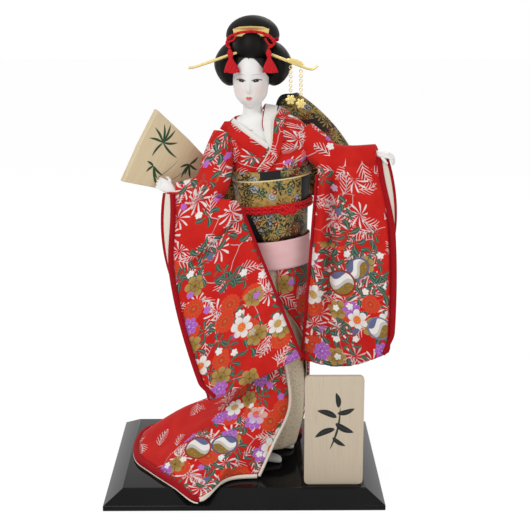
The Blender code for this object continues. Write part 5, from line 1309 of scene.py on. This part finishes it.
def waist_bands():
    """Sash, obi and the scarf above it, joined behind."""
    for name, node, slot, finish, bottom, top, out, thickness, crease, flat in WAIST_BANDS:
        def place(u, v, bottom=bottom, top=top, out=out, crease=crease):
            z = top + (bottom - top) * v
            wave = math.sin(9 * v + 12 * math.pi * u) + 0.6 * math.sin(17 * v - 8 * math.pi * u)
            return trunk_point(2 * math.pi * u + math.pi, z, out + crease * wave)

        band = finished(name, net(128, 14, place, True), finish, (node,))
        thickened(band, thickness, -1.0)


def obi_cord():
    """Two braided strands round the obi, and their knot."""
    path = [trunk_point(2 * math.pi * k / 24 + math.pi, CORD_HEIGHT, CORD_OUT) for k in range(25)]
    for name, lift in (("upper", 0.0021), ("lower", -0.0021)):
        line = [p + Vector((0, 0, lift)) for p in path]
        work = rope(line, dress_settings().obi_cord_radius, 12, 144, False)
        bmesh.ops.remove_doubles(work, verts=work.verts, dist=0.0003)
        finished(f"obi_cord_{name}", work, "braided_cord", ("obi_cord",) if name == "upper" else ())
    at = Vector((0.0440, -0.0240, 0.3068))
    over = ((-0.0110, 0.0005, -0.0012), (-0.0040, -0.0030, 0.0030), (0.0030, -0.0040, 0.0010),
            (0.0080, -0.0020, -0.0030), (0.0115, 0.0010, 0.0005))
    under = ((-0.0100, 0.0, 0.0028), (-0.0030, -0.0020, -0.0032), (0.0040, -0.0034, -0.0015),
             (0.0100, -0.0005, 0.0030))
    work = rope([at + Vector(p) for p in over], 0.0030, 14, 40)
    other = rope([at + Vector(p) for p in under], 0.0028, 14, 40)
    finished("obi_knot", joined_in(work, other), "braided_cord", ("obi_cord_knot",))


def bow():
    """Two stiff brocade loops and the band that gathers them."""
    across = Vector((-BOW_AXIS.z, 0.0, BOW_AXIS.x))
    for name, way in (("upper", 1), ("lower", -1)):
        def place(u, v, way=way):
            a, spread = 2 * math.pi * v, 2 * u - 1
            reach = 0.5 - 0.5 * math.cos(a)
            fullness = math.sin(a) * (0.35 + 0.65 * reach)
            s = 0.0125 + 0.0690 * reach + 0.012 * (1 - spread * spread) * reach
            pinch = (0.0300 + 0.0445 * eased(0.0, 0.75, reach)) * (1.0 - 0.10 * eased(0.75, 1.0, reach))
            ripple = 0.0012 * math.sin(spread * 9.0) * (1 - reach)
            return (BOW_CENTRE + BOW_AXIS * (way * s) + across * (spread * pinch)
                    + Vector((0.0, (0.0142 + ripple) * fullness, 0.0)))

        work = net(56, 96, place, True, fields={"hem": lambda u, v: eased(0.955, 0.965, abs(2 * u - 1))})
        piece = finished(f"bow_{name}", work, "dark_brocade", (f"obi_bow_{name}",))
        thickened(piece, dress_settings().cloth_wall, -1.0)

    def band(u, v):
        a, s = 2 * math.pi * v, 0.024 * (u - 0.5)
        swell = 1.0 - 0.22 * abs(2 * u - 1) ** 3
        centre = BOW_CENTRE - Vector((0.0, 0.0065, 0.0)) + BOW_AXIS * s
        return (centre + across * (0.0306 * swell * math.cos(a))
                + Vector((0.0, 0.0130 * swell * math.sin(a), 0.0)))

    work = capped(net(14, 64, band, True, fields={"hem": lambda u, v: 0.0}))
    finished("bow_band", work, "dark_brocade", ("obi_bow_band",))


# Head

def head_matrix():
    """Where the head stands, turned and bowed a little."""
    return Matrix.Translation(Vector(HEAD_CENTRE)) @ Euler((HEAD_NOD, 0.0, HEAD_TURN)).to_matrix().to_4x4()


def both_sides(x, out, width):
    """Two bells, alike left and right of the middle."""
    return bell(x, out, width) + bell(x, -out, width)


def head_place(way):
    """Face and skull: forehead, sockets, nose, lips, chin and cheeks."""
    x, y, z = way
    rx, ry, rz = HEAD_RADII
    front, low = max(0.0, -y), max(0.0, -z)
    x *= 1.0 + 0.03 * bell(z, -0.35, 0.3) + 0.15 * bell(z, -0.72, 0.24) - 0.10 * low ** 6
    y *= 1.0 + 0.22 * bell(z, -0.82, 0.30) if y < 0 else 1.0 - 0.45 * low ** 1.5
    px, py, pz = x * rx, y * ry, z * rz * (1.0 + 0.10 * low)
    nose = bell(px, 0, 0.0019) * (bell(pz, -0.0128, 0.0042) + 0.45 * bell(pz, -0.0060, 0.0060))
    wings = 0.35 * both_sides(px, 0.0022, 0.0012) * bell(pz, -0.0142, 0.0016)
    lips = bell(px, 0, 0.0032) * (bell(pz, -0.0203, 0.0012) + 1.1 * bell(pz, -0.0232, 0.0015))
    chin = bell(px, 0, 0.0060) * bell(pz, -0.0305, 0.0036)
    sockets = both_sides(px, EYE_OUT, 0.0052) * bell(pz, -0.0025, 0.0042)
    cheeks = both_sides(px, 0.0105, 0.0060) * bell(pz, -0.0130, 0.0070)
    lids = both_sides(px, EYE_OUT, 0.0040) * bell(pz, -0.0040, 0.0016)
    py -= front * (0.0030 * nose + 0.0012 * wings + 0.0010 * lips + 0.0010 * chin - 0.0011 * sockets
                   + 0.0005 * cheeks + 0.0005 * lids)
    return head_matrix() @ Vector((px, py, pz))


def head():
    """The face with the neck, and the chest and shoulders under the neckline."""
    work = orb(head_place, 128, 96)
    low, high = Vector((0.0110, 0.0070, 0.3900)), Vector((0.0078, 0.0045, 0.4420))

    def girth(f):
        return 0.0105 * (1.10 - 0.14 * math.sin(math.pi * f)) + 0.0040 * bell(f, 0.0, 0.22)

    neck = rope([low.lerp(high, f) for f in (0.0, 0.25, 0.5, 0.75, 1.0)], girth, 40, 40)
    finished("face", joined_in(work, neck), "face_skin", ("head",))

    def chest(u, v):
        a = 2 * math.pi * u
        if v > 0.25:
            return trunk_point(a, BODICE_TOP - (v - 0.25) / 0.75 * 0.051, -0.0002)
        f = v / 0.25
        edge, top = trunk_point(a, BODICE_TOP, -0.0002), Vector((0.0108, 0.0066, 0.4085))
        ring = top + Vector((-0.0105 * math.sin(a), -0.0105 * math.cos(a), 0.0))
        return ring.lerp(edge, f) - Vector((0.0, 0.0, 0.0012 * math.sin(math.pi * f)))

    finished("chest", capped(net(96, 48, chest, True)), "doll_skin", ("shoulder_plate",))


def hair():
    """Combed masses: each swells, and grooves run along its strands."""
    for name, (centre, radii) in HAIR.items():
        side = {"hair_wing_right": -1.0, "hair_wing_left": 1.0}.get(name, 0.0)

        def place(way, side=side, centre=centre, radii=radii, name=name):
            x, y, z = way
            grow = 1.0 + 0.035 * math.sin(9 * math.atan2(y, x)) * (1 - z * z) * (1.0 if side else 0.0)
            if name == "hair_topknot" and z < 0:
                z *= 0.60
            if name == "hair_crown" and z > 0:
                z *= 1.60
            if side:
                x -= side * 0.42 * max(0.0, z) ** 1.4
                x -= side * (0.26 if side < 0 else 0.38) * max(0.0, -z) ** 1.6
            return Vector(centre) + Vector((x * radii[0] * grow, y * radii[1], z * radii[2]))

        finished(f"{name}_combed", orb(place, 72, 48), "black_hair", (name,))


def tassel(side, top):
    """A bundle of threads, bound under its head and open at its foot."""
    radii = [(radius, 0, 0) for radius in (0.0010, 0.0031, 0.0021, 0.0044, 0.0066, 0.0080)]

    def place(u, v):
        a = 2 * math.pi * u
        thread = 1.0 + 0.07 * math.sin(26 * a) * eased(0.3, 0.5, v)
        radius = curve_through(radii, (len(radii) - 1) * v).x * thread
        drop = 0.0003 + 0.0245 * v + 0.0006 * math.sin(3 * a) * eased(0.8, 1.0, v)
        return Vector(top) + Vector((radius * math.cos(a) + 0.0022 * v, radius * 0.75 * math.sin(a), -drop))

    work = capped(net(156, 40, place, True))
    return finished(f"tassel_threads_{side}", work, "tassel_silk", (f"tassel_{side}",))


def hair_cord():
    """The braided cord in the hair with its two loops and tassels."""
    tassels = [tassel("right", HAIR_CORD[0]), tassel("left", HAIR_CORD[-1])]
    for side, points in (
            ("right", ((-0.0060, -0.0240, 0.4925), (-0.0125, -0.0242, 0.4905), (-0.0165, -0.0236, 0.4870),
                       (-0.0150, -0.0236, 0.4842), (-0.0105, -0.0240, 0.4862), (-0.0070, -0.0244, 0.4900))),
            ("left", ((0.0210, -0.0240, 0.4915), (0.0275, -0.0242, 0.4890), (0.0318, -0.0236, 0.4840),
                      (0.0310, -0.0236, 0.4805), (0.0270, -0.0240, 0.4815), (0.0225, -0.0244, 0.4880)))):
        piping(f"hair_cord_loop_{side}", points, 0.0011, 10, 60, "braided_cord")
    steps, last, radius = 64, len(HAIR_CORD) - 1, dress_settings().hair_cord_radius
    line = [curve_through(HAIR_CORD, last * k / steps) for k in range(steps + 1)]
    work = rope(HAIR_CORD, radius, 12, steps)
    cord = finished("hair_cord_braid", work, "braided_cord", ("hair_cord",))
    length = sum((b - a).length for a, b in zip(line, line[1:]))


def hairpins():
    """The two gilt pins and the dangles under the left one."""
    for side, (outer, inner) in PINS.items():
        outer, inner = Vector(outer), Vector(inner)
        tip = Vector((-0.0016, 0, 0.0010)) if side == "right" else Vector((0.0016, 0, 0.0060))
        path = [outer + tip, outer.lerp(inner, 0.06) + tip * 0.25]
        path += [outer.lerp(inner, f) for f in (0.16, 0.40, 0.7, 1.0)]
        work = rope(path, lambda f: 0.0013 + 0.0004 * eased(0.3, 0.8, f), 14, 60)
        if side == "left":
            joined_in(work, orb(hanger, 64, 24))
        finished(f"hairpin_stick_{side}", work, "gilt_metal", (f"hairpin_{side}",))
    for where, (x, drop) in DANGLES.items():
        dangle(where, x, drop)


def hanger(way):
    """The scalloped plate on the left pin that the dangles hang under."""
    a = math.atan2(way.z, way.x)
    middle = Vector((0.0545, -0.0188, 0.4628))
    size = 1.0 - 0.12 * abs(math.sin(5 * a))
    return middle + Vector((way.x * 0.0098 * size, way.y * 0.0011, way.z * 0.0036 * size - way.x * 0.0024))


def dangle(where, x, drop):
    """A ring on the pin, a chain of flat links and a six-petal flower."""
    outer, inner = (Vector(p) for p in PINS["left"])
    centre = outer.lerp(inner, (x - outer.x) / (inner.x - outer.x))
    along = (inner - outer).normalized()

    def ring(middle, axis, big, small, steps):
        side = axis.cross(Vector((0, 1, 0))).normalized()
        up = axis.cross(side)
        path = [middle + (side * math.cos(2 * math.pi * k / 12) + up * math.sin(2 * math.pi * k / 12)) * big
                for k in range(13)]
        work = rope(path, small, 8, steps, False)
        bmesh.ops.remove_doubles(work, verts=work.verts, dist=0.00015)
        bmesh.ops.recalc_face_normals(work, faces=work.faces)
        return work

    work = ring(centre, along, 0.00155, 0.00032, 40)
    ways = (Vector((0, 1, 0)), Vector((0.4, 1, 0)).normalized())
    z, count = centre.z - 0.0030, 0
    while z > centre.z - drop + 0.0105:
        joined_in(work, ring(Vector((x, centre.y, z)), ways[count % 2], 0.00160, 0.00048, 24))
        z -= LINK_STEP
        count += 1
    heart = Vector((x, centre.y, centre.z - drop + 0.0048))

    def flower(way):
        a = math.atan2(way.z, way.x)
        size = 0.0056 * (0.55 + 0.45 * abs(math.cos(3 * a)) ** 0.7)
        flatness = math.hypot(way.x, way.z)
        return heart + Vector((way.x * size, way.y * 0.0008 * (1.2 - 0.5 * flatness), way.z * size))

    joined_in(work, orb(flower, 48, 24))
    name = f"dangle_{where}"
    finished(f"dangle_chain_{where}", work, "gilt_metal", (name,), name)


def hands_and_feet():
    """Hands and socked feet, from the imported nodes' own meshes."""
    for side in ("right", "left"):
        work = melted(node_copy(f"hand_{side}"), 0.0005, 3)
        finished(f"hand_{side}_skin", work, "doll_skin", (f"hand_{side}",))
        work = melted(node_copy(f"foot_{side}"), 0.0007, 4)
        finished(f"foot_{side}_sock", work, "sock_cloth", (f"foot_{side}",))


# Base, plate and board

def display_base():
    """A thick board with a wide bevel from its edge up to its top."""
    work = bmesh.new()
    bmesh.ops.create_cube(work, size=1.0)
    bmesh.ops.scale(work, vec=(BASE_WIDE, BASE_DEEP, BASE_EDGE_HEIGHT), verts=work.verts)
    bmesh.ops.translate(work, vec=(0.0, 0.0, BASE_EDGE_HEIGHT / 2), verts=work.verts)
    top = [f for f in work.faces if f.normal.z > 0.9]
    made = bmesh.ops.extrude_face_region(work, geom=top)
    rim = [g for g in made["geom"] if isinstance(g, bmesh.types.BMVert)]
    bmesh.ops.delete(work, geom=top, context="FACES_ONLY")
    half_wide, half_deep = BASE_WIDE / 2 - BASE_BEVEL, BASE_DEEP / 2 - BASE_BEVEL
    for vertex in rim:
        vertex.co = Vector((math.copysign(half_wide, vertex.co.x), math.copysign(half_deep, vertex.co.y),
                            BASE_TOP_HEIGHT))
    softened(work, [e for e in work.edges if e.calc_face_angle(0.0) > 0.2], 0.0007, 3)
    piece = finished("lacquer_base", work, "black_lacquer", ("display_base",))
    piece.data.set_sharp_from_angle(angle=math.radians(32))


def plate_block(name, size, centre, corner, node):
    """A wooden block with rounded upright corners, its cloth map counted from its lower left."""
    work = bmesh.new()
    bmesh.ops.create_cube(work, size=1.0)
    bmesh.ops.scale(work, vec=size, verts=work.verts)
    softened(work, [e for e in work.edges if abs((e.verts[0].co - e.verts[1].co).normalized().y) > 0.9],
             corner, 8)
    softened(work, [e for e in work.edges if e.calc_face_angle(0.0) > 1.2], 0.0005, 2)
    cloth = work.loops.layers.uv.new("cloth")
    for face in work.faces:
        away = PLATE_BACK_AWAY if face.normal.y > 0.5 else 0.0
        for loop in face.loops:
            p = loop.vert.co
            depth = p.y if abs(face.normal.x) > 0.5 else 0.0
            loop[cloth].uv = (p.x + size[0] / 2 + depth + away, p.z + size[2] / 2)
    bmesh.ops.translate(work, vec=centre, verts=work.verts)
    piece = finished(name, work, "plate_wood", (node,))
    piece.data.set_sharp_from_angle(angle=math.radians(40))


def name_plate():
    """The upright plate and the foot behind it."""
    plate_block("plate_board", PLATE_SIZE, PLATE_MIDDLE, 0.005, "name_plate")
    plate_block("plate_foot", PLATE_FOOT_SIZE, PLATE_FOOT_MIDDLE, 0.0015, "name_plate_foot")


def battledore():
    """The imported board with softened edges, its cloth map laid along it from the handle's end."""
    work = node_copy("hagoita_board")
    softened(work, [e for e in work.edges if e.calc_face_angle(0.0) > 0.6], 0.0004, 2)
    along, across = BOARD_ALONG.normalized(), BOARD_ACROSS.normalized()
    face_way = along.cross(across).normalized()
    cloth = work.loops.layers.uv.new("cloth")
    for face in work.faces:
        away = BOARD_BACK_AWAY if face.normal.y > 0.2 else 0.0
        on_edge = abs(face.normal.dot(face_way)) < 0.5
        for loop in face.loops:
            p = loop.vert.co - BOARD_END
            loop[cloth].uv = (p.dot(along) + away, p.dot(across) + p.dot(face_way) * on_edge)
    piece = finished("battledore_board", work, "board_wood", ("hagoita_board",))
    piece.data.set_sharp_from_angle(angle=math.radians(35))


def inner_parts():
    """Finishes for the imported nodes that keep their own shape."""
    for name, finish in (("body_core", "straw"), ("arm_padding_right", "straw"),
                         ("arm_padding_left", "straw"),
                         ("leg_rod_right", "steel"), ("leg_rod_left", "steel"), ("comb", "gilt_metal"),
                         ("bead_pin", "hem_crepe")):
        dress(name, finish)


# Stage

def paper_floor():
    """A pale floor that glows to the camera and in gloss, so that it melts into the background."""
    r = Recipe("paper_floor")
    seen = r.node("LightPath", None, None, "Is Camera Ray")
    gloss = r.node("LightPath", None, None, "Is Glossy Ray")
    grain = r.grain(r.place(), 40.0)
    material = r.finish(r.mix(grain, (0.88, 0.88, 0.88), (0.92, 0.92, 0.92)), 0.9, specular=0.0)
    glow = r.node("Emission", None, {"Color": (1.0, 1.0, 1.0), "Strength": 1.07})
    share = (seen + gloss).math("MINIMUM", 1.0) * 0.85
    blend = r.node("MixShader", None, {0: share, 1: Wire(r.tree, r.shader.outputs[0]), 2: glow})
    r.tree.links.new(blend.socket, r.tree.nodes["Material Output"].inputs["Surface"])
    return material


def placed(name, data, at=(0.0, 0.0, 0.0), turn=(0.0, 0.0, 0.0)):
    """A stage object in the scene."""
    thing = bpy.data.objects.new(name, data)
    bpy.context.scene.collection.objects.link(thing)
    thing.location, thing.rotation_euler = at, turn
    return thing


def studio():
    """White surroundings, brighter where the camera or gloss looks straight at them."""
    world = bpy.data.worlds.new("studio")
    bpy.context.scene.world = world
    world.use_nodes = True
    tree = world.node_tree
    back = tree.nodes["Background"]
    path = tree.nodes.new("ShaderNodeLightPath")
    camera, gloss, clear = (Wire(tree, path.outputs[f"Is {kind} Ray"])
                            for kind in ("Camera", "Glossy", "Transmission"))
    shown = (camera + gloss + clear).math("MINIMUM", 1.0)
    back.inputs["Color"].default_value = (1.0, 1.0, 1.0, 1.0)
    plug(tree, back.inputs["Strength"], shown * 0.44 + 0.56)


# Lamps: name, place, size across, power and the point that each is turned to
LAMPS = (
    ("key", (-0.9, -1.3, 1.5), 0.9, 15.5, (0.02, 0.0, 0.25)),
    ("fill", (1.2, -1.1, 0.9), 1.1, 3.5, (0.02, 0.0, 0.25)),
    ("rim", (0.5, 1.2, 1.3), 0.8, 5.0, (0.0, 0.0, 0.3)),
)


def stage():
    """Floor, surroundings, lamps and camera."""
    work = bmesh.new()
    bmesh.ops.create_grid(work, x_segments=2, y_segments=2, size=6.0)
    mesh = bpy.data.meshes.new("floor")
    work.to_mesh(mesh)
    work.free()
    mesh.materials.append(paper_floor())
    placed("floor", mesh, (0.0, 0.0, -FLOOR_GAP))
    studio()
    for name, at, across, power, aim in LAMPS:
        lamp = bpy.data.lights.new(name, "AREA")
        lamp.shape, lamp.size, lamp.energy = "DISK", across, power
        placed(name, lamp, at, (Vector(aim) - Vector(at)).to_track_quat("-Z", "Y").to_euler())
    lens = bpy.data.cameras.new("camera")
    lens.lens, lens.sensor_width = LENS_MM, SENSOR_MM
    turn = (math.radians(90.0) - CAMERA_DOWN, 0.0, CAMERA_ASIDE)
    bpy.context.scene.camera = placed("camera", lens, CAMERA_AT, turn)
    bpy.context.scene.view_settings.view_transform = "Standard"


# Add-on

class DOLL_OT_base(bpy.types.Operator):
    """Builds the lacquer base that everything stands on"""

    bl_idname = "kimono_doll.base"
    bl_label = "Lacquer base"

    def execute(self, context):
        display_base()
        return {"FINISHED"}


class DOLL_OT_wood(bpy.types.Operator):
    """Builds the wooden plate with its foot, and the battledore"""

    bl_idname = "kimono_doll.wood"
    bl_label = "Plate and battledore"

    def execute(self, context):
        name_plate()
        battledore()
        return {"FINISHED"}


class DOLL_OT_kimono(bpy.types.Operator):
    """Builds the bodice, the skirt with its train and the under-skirt"""

    bl_idname = "kimono_doll.kimono"
    bl_label = "Kimono"

    def execute(self, context):
        bodice()
        skirt()
        under_skirt()
        return {"FINISHED"}


class DOLL_OT_sleeves(bpy.types.Operator):
    """Builds the two hanging sleeves with their edges and linings"""

    bl_idname = "kimono_doll.sleeves"
    bl_label = "Sleeves"

    def execute(self, context):
        for side in ("right", "left"):
            sleeve(side)
            sleeve_edges(side)
        return {"FINISHED"}


class DOLL_OT_collars(bpy.types.Operator):
    """Builds the collars, their piping and the white collars under them"""

    bl_idname = "kimono_doll.collars"
    bl_label = "Collars"

    def execute(self, context):
        neckline()
        return {"FINISHED"}


class DOLL_OT_waist(bpy.types.Operator):
    """Builds the sash, the obi with its scarf, the cord and the bow"""

    bl_idname = "kimono_doll.waist"
    bl_label = "Obi, cord and bow"

    def execute(self, context):
        waist_bands()
        obi_cord()
        bow()
        return {"FINISHED"}


class DOLL_OT_head(bpy.types.Operator):
    """Builds the face, the chest and the combed hair"""

    bl_idname = "kimono_doll.head"
    bl_label = "Face and hair"

    def execute(self, context):
        head()
        hair()
        return {"FINISHED"}


class DOLL_OT_ornaments(bpy.types.Operator):
    """Builds the hair cord with its tassels, the pins and the dangles"""

    bl_idname = "kimono_doll.ornaments"
    bl_label = "Hair ornaments"

    def execute(self, context):
        hair_cord()
        hairpins()
        return {"FINISHED"}


class DOLL_OT_limbs(bpy.types.Operator):
    """Builds the hands and feet, and finishes the hidden parts"""

    bl_idname = "kimono_doll.limbs"
    bl_label = "Hands and feet"

    def execute(self, context):
        hands_and_feet()
        inner_parts()
        return {"FINISHED"}


class DOLL_OT_stage(bpy.types.Operator):
    """Builds the floor, the lamps and the camera"""

    bl_idname = "kimono_doll.stage"
    bl_label = "Stage"

    def execute(self, context):
        stage()
        return {"FINISHED"}


class DOLL_PT_panel(bpy.types.Panel):
    """Lists the doll's settings and building steps"""

    bl_idname = "DOLL_PT_panel"
    bl_label = "Kimono Doll"
    bl_space_type = "VIEW_3D"
    bl_region_type = "UI"
    bl_category = "Kimono Doll"

    def draw(self, context):
        for name in DollDressSettings.__annotations__:
            self.layout.prop(context.scene.doll_dress, name)
        for operator in OPERATORS:
            self.layout.operator(operator.bl_idname)


OPERATORS = (DOLL_OT_base, DOLL_OT_wood, DOLL_OT_kimono, DOLL_OT_sleeves, DOLL_OT_collars, DOLL_OT_waist,
             DOLL_OT_head, DOLL_OT_ornaments, DOLL_OT_limbs, DOLL_OT_stage)
CLASSES = (DollDressSettings, *OPERATORS, DOLL_PT_panel)


def register():
    for one in CLASSES:
        bpy.utils.register_class(one)
    bpy.types.Scene.doll_dress = bpy.props.PointerProperty(type=DollDressSettings)


def unregister():
    del bpy.types.Scene.doll_dress
    for one in reversed(CLASSES):
        bpy.utils.unregister_class(one)


def main():
    register()
    for operator in OPERATORS:
        group, name = operator.bl_idname.split(".")
        getattr(getattr(bpy.ops, group), name)()


if __name__ == "__main__":
    main()
